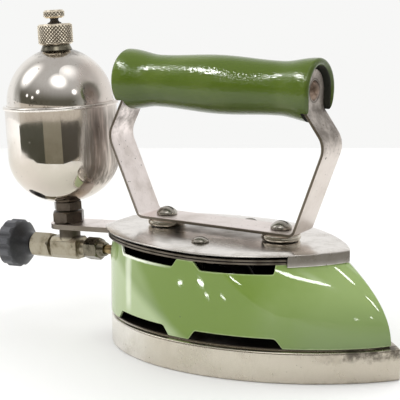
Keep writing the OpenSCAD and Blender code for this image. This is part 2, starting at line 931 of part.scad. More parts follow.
module filler_neck() {
    hole = filler_hole_d / 2 - running_gap;
    foot = filler_d / 2 + neck_flare;
    bore = neck_bore_d / 2;
    shoulder = cap_z - loose_gap;
    lip = cap_z + cap_h - cap_roof - gasket_t;
    color("silver")
    on_tank_axis()
        rotate_extrude()
            polygon([[bore, dome_top - neck_tail], [hole, dome_top - neck_tail], [hole, dome_at(hole) + face_gap],
                [foot, dome_at(foot) + running_gap], [filler_d / 2, dome_top + neck_flare],
                [filler_d / 2, shoulder], [cap_bore_d / 2 - loose_gap, shoulder],
                [cap_bore_d / 2 - loose_gap, lip - face_gap], [bore, lip - face_gap]]);
}

module filler_gasket() {
    color("dimgray")
    on_tank_axis()
        translate([0, 0, cap_z + cap_h - cap_roof - gasket_t])
            difference() {
                cylinder(d = cap_bore_d - 2 * loose_gap, h = gasket_t - face_gap);
                bore(air_stem_d + 2 * loose_gap, gasket_t);
            }
}

// Turned knob or cap with a chamfer at each end.
module turned_cap(d, h, chamfer) {
    rotate_extrude()
        polygon([[0, 0], [d / 2 - chamfer, 0], [d / 2, chamfer], [d / 2, h - chamfer],
            [d / 2 - chamfer, h], [0, h]]);
}

module filler_cap() {
    color("silver")
    on_tank_axis()
        translate([0, 0, cap_z])
            difference() {
                turned_cap(cap_d, cap_h, cap_chamfer);
                translate([0, 0, -cut_over])
                    cylinder(d = cap_bore_d, h = cap_h - cap_roof + cut_over);
                bore(air_stem_d + 2 * running_gap, cap_h);
            }
}

module air_screw_seal() {
    color("black")
    on_tank_axis()
        translate([0, 0, cap_z + cap_h + face_gap])
            difference() {
                cylinder(d1 = seal_d, d2 = seal_top_d, h = seal_h - 2 * face_gap);
                bore(air_stem_d + 2 * running_gap, seal_h);
            }
}

module air_screw() {
    head_z = cap_z + cap_h + seal_h;
    tip_z = cap_z + cap_h - cap_roof - gasket_t - air_tip_h;
    color("silver")
    on_tank_axis() {
        translate([0, 0, head_z])
            turned_cap(air_head_d, air_head_h, cap_chamfer / 2);
        translate([0, 0, tip_z])
            cylinder(d1 = air_stem_d / 3, d2 = air_stem_d, h = air_tip_h);
        translate([0, 0, tip_z + air_tip_h])
            cylinder(d = air_stem_d, h = head_z - tip_z - air_tip_h + eps);
    }
}

// Valve line

// Square bar along X with its four long edges chamfered.
module chamfered_bar(x, length, side, chamfer) {
    across = (side - chamfer / 2) * sqrt(2);
    translate([x, 0, 0])
        rotate([90, 0, 90])
            linear_extrude(length)
                intersection() {
                    square(side, center = true);
                    rotate(45)
                        square(across - chamfer / sqrt(2), center = true);
                }
}

module valve_body() {
    thread_top = boss_z + boss_h - loose_gap;
    stem_bore_d = stem_d + 2 * running_gap;
    seat_x = needle_tip - needle_cone;
    tube_x = body_front + front_stub_len - ferrule_len;
    color("darkkhaki")
    difference() {
        union() {
            on_valve_axis() {
                chamfered_bar(body_rear, valve_len, valve_side, body_chamfer);
                rod_x(body_rear - shoulder_len - stub_len, shoulder_len + stub_len + eps, rear_stub_d);
                rod_x(body_front - eps, front_stub_len + eps, front_stub_d);
            }
            on_tank_axis() {
                translate([0, 0, valve_z])
                    cylinder(d = valve_side - loose_gap, h = valve_drop);
                translate([0, 0, -eps])
                    cylinder(d = neck_thread_d, h = thread_top);
            }
        }
        on_tank_axis()
            translate([0, 0, valve_z])
                cylinder(d = fuel_bore_d, h = valve_drop + thread_top + cut_over);
        on_valve_axis() {
            rod_x(packing_rear, seat_x - packing_rear, stem_bore_d);
            rod_x(seat_x - chamber_len, chamber_len, chamber_d);
            translate([seat_x - eps, 0, 0])
                rotate([0, 90, 0])
                    cylinder(d1 = stem_bore_d, d2 = fuel_bore_d / 2, h = needle_cone + face_gap);
            rod_x(needle_tip, tube_x - needle_tip + eps, fuel_bore_d / 2);
            bore_x(tube_x + cut_over, ferrule_len, tube_d + 2 * running_gap);
        }
    }
}

module stem_packing() {
    rear = packing_front - stub_len - packing_room;
    color("ivory")
    on_valve_axis()
        difference() {
            rod_x(rear + face_gap, packing_room - 2 * face_gap, rear_stub_d - 2 * running_gap);
            bore_x(rear, packing_room, stem_d + 2 * running_gap);
        }
}

module packing_nut() {
    color("darkkhaki")
    on_valve_axis()
        difference() {
            translate([packing_rear, 0, 0])
                rotate([0, 90, 0])
                    rotate([0, 0, packing_turn])
                        hex_bar(packing_af, packing_len);
            rod_x(packing_front - stub_len - packing_room, packing_len, rear_stub_d + 2 * hole_gap);
            bore_x(packing_rear, packing_len, stem_d + 2 * running_gap);
        }
}

module valve_needle() {
    color("goldenrod")
    on_valve_axis() {
        rod_x(needle_tip - needle_len, needle_len - needle_cone + eps, stem_d);
        translate([needle_tip - needle_cone, 0, 0])
            rotate([0, 90, 0])
                cylinder(d1 = stem_d, d2 = fuel_bore_d / 2 - 2 * running_gap, h = needle_cone);
    }
}

module valve_stem() {
    rear = rim_rear + knob_recess;
    color("goldenrod")
    on_valve_axis()
        difference() {
            rod_x(rear, stem_front - rear, stem_d);
            bore_x(rear, knob_screw_len - cut_over, knob_screw_d + 2 * running_gap);
        }
}

module valve_knob() {
    rim_edge = 1.2;
    color("black")
    on_valve_axis()
        difference() {
            translate([rim_rear, 0, 0])
                rotate([0, 90, 0])
                    rotate_extrude()
                        polygon([[0, 0], [knob_d / 2 - rim_edge, 0], [knob_d / 2, rim_edge],
                            [knob_d / 2, knob_rim - rim_edge], [knob_d / 2 - rim_edge, knob_rim],
                            [hub_d / 2 + 2, knob_rim + hub_len / 2], [hub_d / 2, knob_rim + hub_len],
                            [0, knob_rim + hub_len]]);
            for (i = [0 : knob_flutes - 1])
                rotate([360 * i / knob_flutes, 0, 0])
                    translate([0, 0, knob_d / 2 + flute_d / 2 - flute_depth])
                        bore_x(rim_rear, knob_rim, flute_d);
            rod_x(rim_rear - cut_over, knob_recess + cut_over, knob_recess_d);
            bore_x(rim_rear, knob_rim + hub_len, stem_d + 2 * hole_gap);
        }
}

module knob_screw() {
    color("gray")
    on_valve_axis()
        translate([rim_rear + knob_recess, 0, 0])
            rotate([0, -90, 0])
                slotted_screw(knob_head_d, knob_head_h, knob_screw_d, knob_screw_len - cut_over);
}

module union_nut() {
    color("darkkhaki")
    on_valve_axis()
        difference() {
            union() {
                translate([union_rear, 0, 0])
                    rotate([0, 90, 0])
                        hex_bar(union_af, union_len);
                translate([union_rear + union_len - eps, 0, 0])
                    rotate([0, 90, 0])
                        cylinder(d1 = union_af - 1, d2 = union_cone_d, h = union_cone_len);
            }
            rod_x(union_rear - cut_over, front_stub_len - union_gap + ferrule_len + cut_over,
                front_stub_d + 2 * hole_gap);
            bore_x(union_rear, union_len + union_cone_len, tube_d + 2 * hole_gap);
        }
}

module tube_ferrule() {
    x = body_front + front_stub_len;
    color("goldenrod")
    on_valve_axis()
        difference() {
            rod_x(x + face_gap, ferrule_len - 2 * face_gap, front_stub_d - 2 * running_gap);
            bore_x(x, ferrule_len, tube_d + 2 * running_gap);
        }
}

// Generator and burner

module generator_tube() {
    x = body_front + front_stub_len - ferrule_len;
    color("saddlebrown")
    on_valve_axis()
        difference() {
            rod_x(x + face_gap, tube_front - x - face_gap, tube_d);
            bore_x(x, tube_front - x, tube_d - 2 * tube_wall);
        }
}

module gas_tip() {
    color("goldenrod")
    on_valve_axis()
        difference() {
            translate([tube_front, 0, 0])
                rotate([0, 90, 0]) {
                    hex_bar(tip_af, tip_len);
                    translate([0, 0, tip_len - eps])
                        cylinder(d1 = tip_nose_d + 1, d2 = tip_nose_d, h = tip_nose + eps);
                }
            rod_x(tube_front - cut_over, tip_len, tube_d - 2 * tube_wall);
            bore_x(tube_front, tip_len + tip_nose, jet_d);
        }
}

// Tube that takes in gas and air at its mouth and turns down into the burner's socket.
module mixing_elbow() {
    color("sienna")
    translate([elbow_mouth, 0, elbow_z - elbow_r])
        rotate([90, 0, 0])
            rotate_extrude(angle = 90)
                translate([elbow_r, 0])
                    difference() {
                        circle(d = elbow_d);
                        circle(d = elbow_d - 2 * elbow_wall);
                    }
}

module stadium(half, w) {
    square([2 * half, w], center = true);
    for (side = [-1, 1])
        translate([side * half, 0])
            circle(d = w);
}

module burner() {
    end_boss = burner_head_d + 2;
    port_pitch = 2 * burner_half / (port_count + 1);
    color("dimgray")
    difference() {
        translate([burner_x, 0, burner_z])
            linear_extrude(burner_h)
                stadium(burner_half, burner_w);
        translate([burner_x, 0, burner_z + burner_wall])
            linear_extrude(burner_h - 2 * burner_wall)
                difference() {
                    square([2 * burner_half, burner_w - 2 * burner_wall], center = true);
                    for (side = [-1, 1])
                        translate([side * burner_half, 0])
                            circle(d = end_boss);
                }
        translate([elbow_x, 0, burner_top - socket_h])
            cylinder(d = elbow_d + 2 * hole_gap, h = socket_h + cut_over);
        for (i = [1 : port_count])
            translate([burner_x - burner_half + i * port_pitch, 0, burner_z + burner_h / 2])
                rotate([90, 0, 0])
                    cylinder(d = port_d, h = 2 * burner_w, center = true);
        translate([0, 0, burner_z])
            at_burner_screws()
                bore(burner_screw_d + 2 * hole_gap, burner_h);
    }
}

module burner_screws() {
    color("gray")
    translate([0, 0, burner_top])
        at_burner_screws()
            slotted_screw(burner_head_d, burner_head_h, burner_screw_d, burner_top - sole_t + bolt_grip - cut_over);
}

sole_plate();
body_shell();
lower_heat_shield();
insulating_sheet();
upper_heat_shield();
top_cover();
cover_spacers();
strap_spacers();
handle_strap();
strap_screws();
strap_nuts();
body_bolts();
handle_grip();
handle_rod();
tank_bracket();
lock_nut();
tank_boss();
tank_bowl();
tank_dome();
filler_neck();
filler_gasket();
filler_cap();
air_screw_seal();
air_screw();
valve_body();
stem_packing();
packing_nut();
valve_needle();
valve_stem();
valve_knob();
knob_screw();
union_nut();
tube_ferrule();
generator_tube();
gas_tip();
mixing_elbow();
burner();
burner_screws();
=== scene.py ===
"""Dressed scene of a gasoline pressing iron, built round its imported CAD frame.

Every size is in millimetres in the shared frame: the origin lies on the pressing face at the widest
section of the sole, +X points to the tip and +Z up. Meshes are scaled to metres when they are made.
"""

import json
import logging
import math
from dataclasses import dataclass
from enum import Enum
from functools import cached_property
from typing import Sequence

import bmesh
import bpy
from mathutils import Matrix, Vector

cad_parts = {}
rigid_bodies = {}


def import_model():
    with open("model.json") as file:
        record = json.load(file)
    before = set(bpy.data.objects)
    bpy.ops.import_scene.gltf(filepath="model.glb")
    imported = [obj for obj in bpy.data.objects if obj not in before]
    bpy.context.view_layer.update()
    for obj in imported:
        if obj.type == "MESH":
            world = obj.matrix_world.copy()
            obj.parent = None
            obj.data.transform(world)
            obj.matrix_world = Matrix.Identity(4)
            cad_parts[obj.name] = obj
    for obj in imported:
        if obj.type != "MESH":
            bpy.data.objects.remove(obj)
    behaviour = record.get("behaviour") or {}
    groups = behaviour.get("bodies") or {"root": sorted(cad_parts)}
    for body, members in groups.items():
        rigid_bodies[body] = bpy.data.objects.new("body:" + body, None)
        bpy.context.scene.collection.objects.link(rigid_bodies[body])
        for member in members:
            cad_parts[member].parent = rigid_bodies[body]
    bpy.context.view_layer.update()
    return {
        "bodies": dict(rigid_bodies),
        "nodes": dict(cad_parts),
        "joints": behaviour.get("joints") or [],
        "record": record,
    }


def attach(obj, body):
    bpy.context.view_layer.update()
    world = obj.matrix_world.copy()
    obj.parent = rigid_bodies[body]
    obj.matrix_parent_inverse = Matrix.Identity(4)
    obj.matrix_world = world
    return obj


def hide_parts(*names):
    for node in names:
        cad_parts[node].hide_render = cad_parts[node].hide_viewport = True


LOG = logging.getLogger("gasoline_iron")
MM = 0.001
SHARP_ANGLE = 35.0
WELD_GAP = 0.002
MERGE_GAP = 0.0001

Colour = tuple[float, float, float]
Place = tuple[float, float, float]
Plan = list[tuple[float, float]]
Steps = tuple[tuple[float, float], ...]
Ring = list[Vector]

WHITE: Colour = (1.0, 1.0, 1.0)
BLACK: Colour = (0.0, 0.0, 0.0)
PIT_BROWN: Colour = (0.06, 0.05, 0.045)
# Colour of real stains and of painted shade.
STAIN_AND_SHADE_BROWN: Colour = (0.09, 0.075, 0.06)


class Body(Enum):
    """The CAD bodies that pieces ride on."""

    IRON = "iron"
    CAP = "cap_turning"
    AIR_SCREW = "air_screw_turning"
    AIR_SEAL = "air_screw_rise_body"


class Edge(Enum):
    """Which faces of a sheet take the edge colour."""

    NONE = "none"
    SIDEWAYS = "sideways"
    UPRIGHT = "upright"


class Value:
    """A shader socket that Python's operators work on."""

    def __init__(self, nodes: "Nodes", socket: bpy.types.NodeSocket) -> None:
        """Keeps the nodes and the socket that gives the value."""
        self.nodes = nodes
        self.socket = socket

    def _math(self, operation: str, first: "Value | float", second: "Value | float" = 0.0) -> "Value":
        """Adds a Math node and gives its result."""
        return self.nodes.node("ShaderNodeMath", {"operation": operation}, {0: first, 1: second})

    def __add__(self, other: "Value | float") -> "Value":
        """self + other."""
        return self._math("ADD", self, other)

    def __radd__(self, other: float) -> "Value":
        """other + self."""
        return self._math("ADD", other, self)

    def __sub__(self, other: "Value | float") -> "Value":
        """self - other."""
        return self._math("SUBTRACT", self, other)

    def __rsub__(self, other: float) -> "Value":
        """other - self."""
        return self._math("SUBTRACT", other, self)

    def __mul__(self, other: "Value | float") -> "Value":
        """self * other."""
        return self._math("MULTIPLY", self, other)

    def __rmul__(self, other: float) -> "Value":
        """other * self."""
        return self._math("MULTIPLY", other, self)

    def __abs__(self) -> "Value":
        """Distance from zero."""
        return self._math("ABSOLUTE", self)

    def larger(self, other: "Value | float") -> "Value":
        """The larger of the two values."""
        return self._math("MAXIMUM", self, other)

    def rise(self, low: float, high: float) -> "Value":
        """Smooth step from 0 where the value is low to 1 where it is high."""
        settings = {"interpolation_type": "SMOOTHSTEP"}
        return self.nodes.node("ShaderNodeMapRange", settings, {0: self, 1: low, 2: high})


class Nodes:
    """A node tree and the ways to add to it."""

    def __init__(self, tree: bpy.types.NodeTree) -> None:
        """Takes over a tree and empties it."""
        self.tree = tree
        tree.nodes.clear()

    def feed(self, socket: bpy.types.NodeSocket, value: "Value | float | Sequence[float]") -> None:
        """Links or sets one input.

        Args:
            socket: the input.
            value: what it is linked to or set to. A colour may leave out its alpha.
        """
        if isinstance(value, Value):
            self.tree.links.new(value.socket, socket)
        elif socket.type == "RGBA" and len(value) == 3:
            socket.default_value = (*value, 1.0)
        else:
            socket.default_value = value

    def node(
        self,
        kind: str,
        settings: dict[str, object] | None = None,
        sockets: dict[int | str, object] | None = None,
        output: int | str = 0,
    ) -> Value:
        """Adds any node.

        Args:
            kind: the node's type name.
            settings: properties that are set first.
            sockets: values or links for its inputs, by name or number.
            output: the output that is wanted.

        Returns:
            That output as a Value.
        """
        made = self.tree.nodes.new(kind)
        for key, setting in (settings or {}).items():
            setattr(made, key, setting)
        for key, value in (sockets or {}).items():
            self.feed(made.inputs[key], value)
        return Value(self, made.outputs[output])

    def end(self, kind: str, value: Value) -> None:
        """Links a shader to a new output node."""
        self.feed(self.tree.nodes.new(kind).inputs["Surface"], value)


class Shader(Nodes):
    """One material's nodes round a Principled shader."""

    def __init__(self, name: str) -> None:
        """Starts a material with its shader and output."""
        self.material = bpy.data.materials.new(name)
        self.material.use_nodes = True
        super().__init__(self.material.node_tree)
        self.surface = self.tree.nodes.new("ShaderNodeBsdfPrincipled")
        self.end("ShaderNodeOutputMaterial", Value(self, self.surface.outputs[0]))

    def vector(self, operation: str, first: Value, second: Sequence[float]) -> Value:
        """Adds a Vector Math node and gives its vector, or its number where it measures."""
        output = "Value" if operation in ("DISTANCE", "DOT_PRODUCT") else "Vector"
        return self.node("ShaderNodeVectorMath", {"operation": operation}, {0: first, 1: second}, output)

    def place(self, stretch: Sequence[float] = (1.0, 1.0, 1.0)) -> Value:
        """Position on the object in millimetres, stretched along each axis."""
        spot = self.node("ShaderNodeTexCoord", output="Object")
        return self.vector("MULTIPLY", spot, tuple(part / MM for part in stretch))

    def part(self, vector: Value, axis: int) -> Value:
        """One component of a vector: 0 for X, 1 for Y and 2 for Z."""
        return self.node("ShaderNodeSeparateXYZ", sockets={0: vector}, output=axis)

    @cached_property
    def here(self) -> Value:
        """Position on the object in millimetres."""
        return self.place()

    @cached_property
    def x(self) -> Value:
        """Position along X."""
        return self.part(self.here, 0)

    @cached_property
    def y(self) -> Value:
        """Position along Y."""
        return self.part(self.here, 1)

    @cached_property
    def z(self) -> Value:
        """Position along Z."""
        return self.part(self.here, 2)

    def noise(
        self, size: float, detail: float = 3.0, rough: float = 0.55, stretch: Place | None = None
    ) -> Value:
        """Cloudy noise.

        Args:
            size: width of the clouds in millimetres.
            detail: number of finer layers.
            rough: weight of the finer layers.
            stretch: factors on the position, or nothing for clouds that are as long as wide.

        Returns:
            A value around 0.5.
        """
        place = self.place(stretch) if stretch else self.here
        sockets = {"Vector": place, "Scale": 1.0 / size, "Detail": detail, "Roughness": rough}
        return self.node("ShaderNodeTexNoise", sockets=sockets)

    def spots(self, pitch: float, radius: float, share: float) -> Value:
        """Small round spots, strewn irregularly.

        Args:
            pitch: mean distance between the spots in millimetres.
            radius: radius of a spot.
            share: share of the cells that have a spot, from 0 to 1.

        Returns:
            1 in a spot and 0 elsewhere.
        """
        sockets = {"Vector": self.here, "Scale": 1.0 / pitch, "Randomness": 1.0}
        distance = self.node("ShaderNodeTexVoronoi", sockets=sockets, output="Distance")
        draw = self.node("ShaderNodeTexVoronoi", sockets=sockets, output="Color")
        reach = radius / pitch
        limit, soft = 1.0 - share, 0.02
        chosen = self.part(draw, 0).rise(limit - soft, limit + soft)
        ragged = distance + (self.noise(radius * 1.2) - 0.5) * (reach * 0.9)
        return (1.0 - ragged.rise(reach * 0.6, reach)) * chosen

    def blend(self, factor: Value, first: Value | Colour, second: Value | Colour) -> Value:
        """Mixes two colours by a factor."""
        return self.node("ShaderNodeMix", {"data_type": "RGBA"}, {0: factor, 6: first, 7: second}, 2)

    def attribute(self, name: str) -> Value:
        """A number stored on the mesh's points."""
        return self.node("ShaderNodeAttribute", {"attribute_name": name}, output="Fac")

    def set(self, **sockets: object) -> None:
        """Feeds the Principled shader; underscores stand for the spaces in socket names."""
        for key, value in sockets.items():
            self.feed(self.surface.inputs[key.replace("_", " ")], value)

    def bump(self, height: Value, depth: float, strength: float) -> None:
        """Raises the surface by a height from 0 to 1 times a depth in millimetres."""
        sockets = {"Height": height, "Distance": depth * MM, "Strength": strength}
        self.set(Normal=self.node("ShaderNodeBump", sockets=sockets))


@dataclass(frozen=True)
class Finish:
    """What one kind of surface looks like.

    Attributes:
        name: the material's name.
        slot: the record's material slot; not used.
    """

    name: str
    slot: str

    def material(self) -> bpy.types.Material:
        """The finish's material, made once.

        Returns:
            The material.
        """
        made = bpy.data.materials.get(self.name)
        if made is None:
            shader = Shader(self.name)
            self.paint(shader)
            made = shader.material
        return made

    def paint(self, shader: Shader) -> None:
        """Fills in the material's nodes."""
        raise NotImplementedError


@dataclass(frozen=True)
class Metal(Finish):
    """Plated or bare metal with clouds of tarnish, pits and fine scratches, and on some pieces stains and
    painted shade.

    Attributes:
        colour: clean metal.
        tarnish: colour of the tarnished clouds.
        gloss: roughness of the clean metal.
        dull: roughness of the tarnished metal.
        cloud: width of the clouds in millimetres.
        cover: share of the tarnish, from 0 to 1.
        pit: radius of the pits in millimetres.
        pits: share of the places that have a pit.
        edges: which faces take the edge colour.
        edge: colour of those faces, a darker cut edge on the strap and painted shade on the cover's upright
            rim and skirt.
        relief: height of the grain against the depth of the pits.
    """

    colour: Colour = (0.68, 0.64, 0.58)
    tarnish: Colour = (0.45, 0.40, 0.33)
    gloss: float = 0.28
    dull: float = 0.45
    cloud: float = 14.0
    cover: float = 0.5
    pit: float = 0.35
    pits: float = 0.2
    edges: Edge = Edge.NONE
    edge: Colour = (0.20, 0.165, 0.10)
    relief: float = 0.25

    def clean(self, shader: Shader) -> Value | Colour:
        """Colour of the clean metal."""
        return self.colour

    def stain_and_shade(self, shader: Shader) -> Value | None:
        """A further mask of dark stains and painted shade, if the piece has them."""
        return None

    def heated(self, shader: Shader) -> Value | None:
        """A mask of places dulled by heat, if the piece has them."""
        return None

    def paint(self, shader: Shader) -> None:
        """Lays tarnish, pits, stains, painted shade and scratches over the clean metal.

        Args:
            shader: takes the nodes.
        """
        clouds = shader.noise(self.cloud, 5.0, 0.62).rise(0.42, 0.72) * self.cover
        grain = shader.noise(0.9, 2.0, stretch=(1.0, 1.0, 0.25))
        colour = shader.blend(clouds, self.clean(shader), self.tarnish)
        colour = shader.blend((grain - 0.5) * 0.35 + 0.12, colour, self.tarnish)
        pits = shader.spots(self.pit * 7.0, self.pit, self.pits)
        pits = pits * shader.noise(self.cloud * 0.8).rise(0.40, 0.62)
        colour = shader.blend(pits * 0.9, colour, PIT_BROWN)
        rough = clouds * (self.dull - self.gloss) + grain * 0.06 + pits * 0.3 + (self.gloss - 0.03)
        heated = self.heated(shader)
        if heated is not None:
            colour = shader.blend(heated * 0.5, colour, self.tarnish)
            rough = rough + heated * 0.24
        # On some pieces this mask also lays painted shade.
        stain_and_shade = self.stain_and_shade(shader)
        if stain_and_shade is not None:
            colour = shader.blend(stain_and_shade, colour, STAIN_AND_SHADE_BROWN)
            rough = rough + stain_and_shade * 0.2
        if self.edges is not Edge.NONE:
            # Edge faces: darker cut edges on the strap, painted shade on the cover's upright rim and skirt.
            colour = shader.blend(self._edge_faces(shader) * 0.85, colour, self.edge)
        shader.set(Base_Color=colour, Metallic=1.0, Roughness=rough)
        shader.bump(grain * self.relief - pits, 0.05, 0.5)

    def _edge_faces(self, shader: Shader) -> Value:
        """A mask of the edge faces, by the way the faces look.

        Args:
            shader: takes the nodes.

        Returns:
            1 on an edge face and 0 elsewhere.
        """
        normal = shader.node("ShaderNodeNewGeometry", output="Normal")
        if self.edges is Edge.SIDEWAYS:
            return abs(shader.part(normal, 1)).rise(0.72, 0.93)
        return 1.0 - abs(shader.part(normal, 2)).rise(0.10, 0.45)


@dataclass(frozen=True)
class GradedMetal(Metal):
    """Plating with painted light that changes from the rear to the front of a piece: lighter at the rear,
    darker at the front.

    Attributes:
        rear: clean metal at the rear.
        front: clean metal at the front.
        rear_run: start and end, along X, of the change from the rear's colour.
        front_run: start and end of the change to the front's colour.
        drift: width of the clouds that shift these changes, and how far they do.
    """

    rear: Colour = (0.90, 0.87, 0.82)
    front: Colour = (0.55, 0.50, 0.42)
    rear_run: tuple[float, float] = (-48.0, -12.0)
    front_run: tuple[float, float] = (30.0, 90.0)
    drift: tuple[float, float] = (20.0, 24.0)

    def clean(self, shader: Shader) -> Value | Colour:
        """Metal painted lighter at the rear and darker at the front, as painted light and shade.

        Args:
            shader: takes the nodes.

        Returns:
            The colour.
        """
        width, reach = self.drift
        along = shader.x + (shader.noise(width) - 0.5) * reach
        colour = shader.blend(along.rise(*self.rear_run), self.rear, self.colour)
        return shader.blend(along.rise(*self.front_run), colour, self.front)


@dataclass(frozen=True)
class SoleMetal(GradedMetal):
    """The sole's plating: bright at the heel as a painted reflection, darker and stained towards the tip."""

    def stain_and_shade(self, shader: Shader) -> Value | None:
        """Dark, ragged stains that hang from the upper edge near the tip, darkening along the foot, specks,
        and painted shade on the top inside the housing.

        Args:
            shader: takes the nodes.

        Returns:
            The mask.
        """
        height = shader.z
        ragged = shader.noise(7.0, 6.0, 0.7)
        upper = (height + ragged * 10.0).rise(15.5, 20.5)
        tip = (shader.x + ragged * 30.0).rise(78.0, 108.0)
        foot = 1.0 - (height + ragged * 3.0).rise(1.2, 3.0)
        specks = shader.spots(7.0, 0.7, 0.22) * 0.6
        # Painted shade, sooty, on the top inside the housing.
        inside = height.rise(17.3, 17.6)
        return (upper * tip * ragged.rise(0.38, 0.60) * 0.85 + foot * 0.35).larger(specks).larger(inside)


@dataclass(frozen=True)
class StrapMetal(GradedMetal):
    """The strap's plating: lighter on the rear leg and darker on the front leg as painted light, with stains
    and painted shade where its legs bend in under the grip.

    Attributes:
        rivet_z: height of the rivets.
        rivet_r: radius of their heads.
    """

    rivet_z: float = 149.9
    rivet_r: float = 6.2

    def stain_and_shade(self, shader: Shader) -> Value | None:
        """Brown stains and painted shade round the upper bends, drips, freckles, and dirt round the rivets.

        Args:
            shader: takes the nodes.

        Returns:
            The mask.
        """
        height = shader.z
        ragged = shader.noise(9.0, 6.0, 0.7)
        # Painted shade with brown stains round the upper bends under the grip.
        bend = (height + ragged * 16.0).rise(120.0, 138.0)
        drips = shader.spots(9.0, 0.9, 0.30) * 0.9
        distance = shader.vector("DISTANCE", shader.place((0.0, 1.0, 1.0)), (0.0, 0.0, self.rivet_z))
        ring = 1.0 - abs(distance - self.rivet_r).rise(0.2, 0.9)
        freckles = shader.spots(3.0, 0.48, 0.40) * (height.rise(95.0, 132.0) * 0.65 + 0.2)
        return (bend * ragged.rise(0.25, 0.62) * 0.62).larger(drips).larger(ring * 0.8).larger(freckles)


@dataclass(frozen=True)
class CoverMetal(Metal):
    """The cover's plating, with painted shade under the strap between its spacers."""

    def stain_and_shade(self, shader: Shader) -> Value | None:
        """Painted shade under the strap between its spacers, and freckles all over.

        Args:
            shader: takes the nodes.

        Returns:
            The mask.
        """
        along, across = shader.x, abs(shader.y)
        ragged = shader.noise(8.0, 6.0, 0.68)
        # Painted shade under the strap, between its spacers.
        under = (1.0 - (across + ragged * 8.0).rise(10.0, 18.0)) * (along + ragged * 6.0).rise(-34.0, -26.0)
        under = under * (1.0 - (along - ragged * 8.0).rise(14.0, 26.0))
        freckles = shader.spots(4.2, 0.45, 0.30) * 0.7
        return (under * 0.55).larger(freckles).larger(ragged.rise(0.60, 0.78) * 0.35)


@dataclass(frozen=True)
class KnurlMetal(Metal):
    """Knurled metal that is darker in its grooves."""

    def stain_and_shade(self, shader: Shader) -> Value | None:
        """Darkening that follows the depth of the grooves."""
        return shader.attribute("rim").rise(0.26, 0.74) * 0.85


@dataclass(frozen=True)
class ValveMetal(Metal):
    """The valve's metal, with painted shade on its upright part under the bracket."""

    def stain_and_shade(self, shader: Shader) -> Value | None:
        """Painted shade on the upright part under the bracket, and grime in patches.

        Args:
            shader: takes the nodes.

        Returns:
            The mask.
        """
        along, height = shader.x, shader.z
        ragged = shader.noise(4.0, 5.0, 0.68)
        # Painted shade: the upright part stands in the shade under the bracket.
        upright = (height + ragged * 2.0).rise(51.5, 53.5) * (along + ragged * 3.0).rise(-118.0, -114.0)
        return (upright * 0.9).larger(ragged.rise(0.58, 0.74) * 0.55)


@dataclass(frozen=True)
class TankMetal(Metal):
    """The tank's plating: dulled by heat on the side of the iron and tarnished low down.

    Attributes:
        low: metal of the tarnished lower part.
        axis_x: where the tank's axis stands.
        seam_z: height of the seam.
    """

    low: Colour = (0.585, 0.545, 0.465)
    axis_x: float = -116.5
    seam_z: float = 135.0

    def clean(self, shader: Shader) -> Value | Colour:
        """Metal that tarnishes towards the tank's foot."""
        height = shader.z + (shader.noise(12.0, 4.0, 0.6) - 0.5) * 30.0
        return shader.blend(height.rise(96.0, 122.0), self.low, self.colour)

    def heated(self, shader: Shader) -> Value | None:
        """The side that faces the hot iron.

        Args:
            shader: takes the nodes.

        Returns:
            The mask.
        """
        streaks = shader.noise(3.0, stretch=(1.0, 1.0, 0.12)) - 0.5
        height = shader.z
        reach = shader.x + streaks * 4.0 + (height - self.seam_z).larger(0.0) * 0.4
        return reach.rise(self.axis_x + 27.2, self.axis_x + 30.6)

    def stain_and_shade(self, shader: Shader) -> Value | None:
        """Brown specks along the seam and on the heated side, and painted shade round the collar under the
        cap.

        Args:
            shader: takes the nodes.

        Returns:
            The mask.
        """
        height = shader.z
        ragged = shader.noise(3.0, 5.0, 0.7)
        seam = 1.0 - abs(height - self.seam_z - 1.5 + (ragged - 0.5) * 6.0).rise(0.6, 3.0)
        specks = shader.spots(3.6, 0.5, 0.45) * shader.noise(14.0).rise(0.50, 0.62)
        streaks = shader.noise(2.4, 3.0, 0.6, (1.0, 1.0, 0.08))
        reach = shader.x + (streaks - 0.5) * 6.0
        band = reach.rise(self.axis_x + 28.8, self.axis_x + 31.0) * (1.0 - height.rise(122.0, 138.0))
        band = band * streaks.rise(0.30, 0.60) * 0.62
        # Painted shade round the collar under the cap.
        collar = (height + (ragged - 0.5) * 5.0).rise(160.5, 164.0) * 0.75
        return (seam * ragged.rise(0.52, 0.66) * 0.6).larger(specks * 0.75).larger(band).larger(collar)


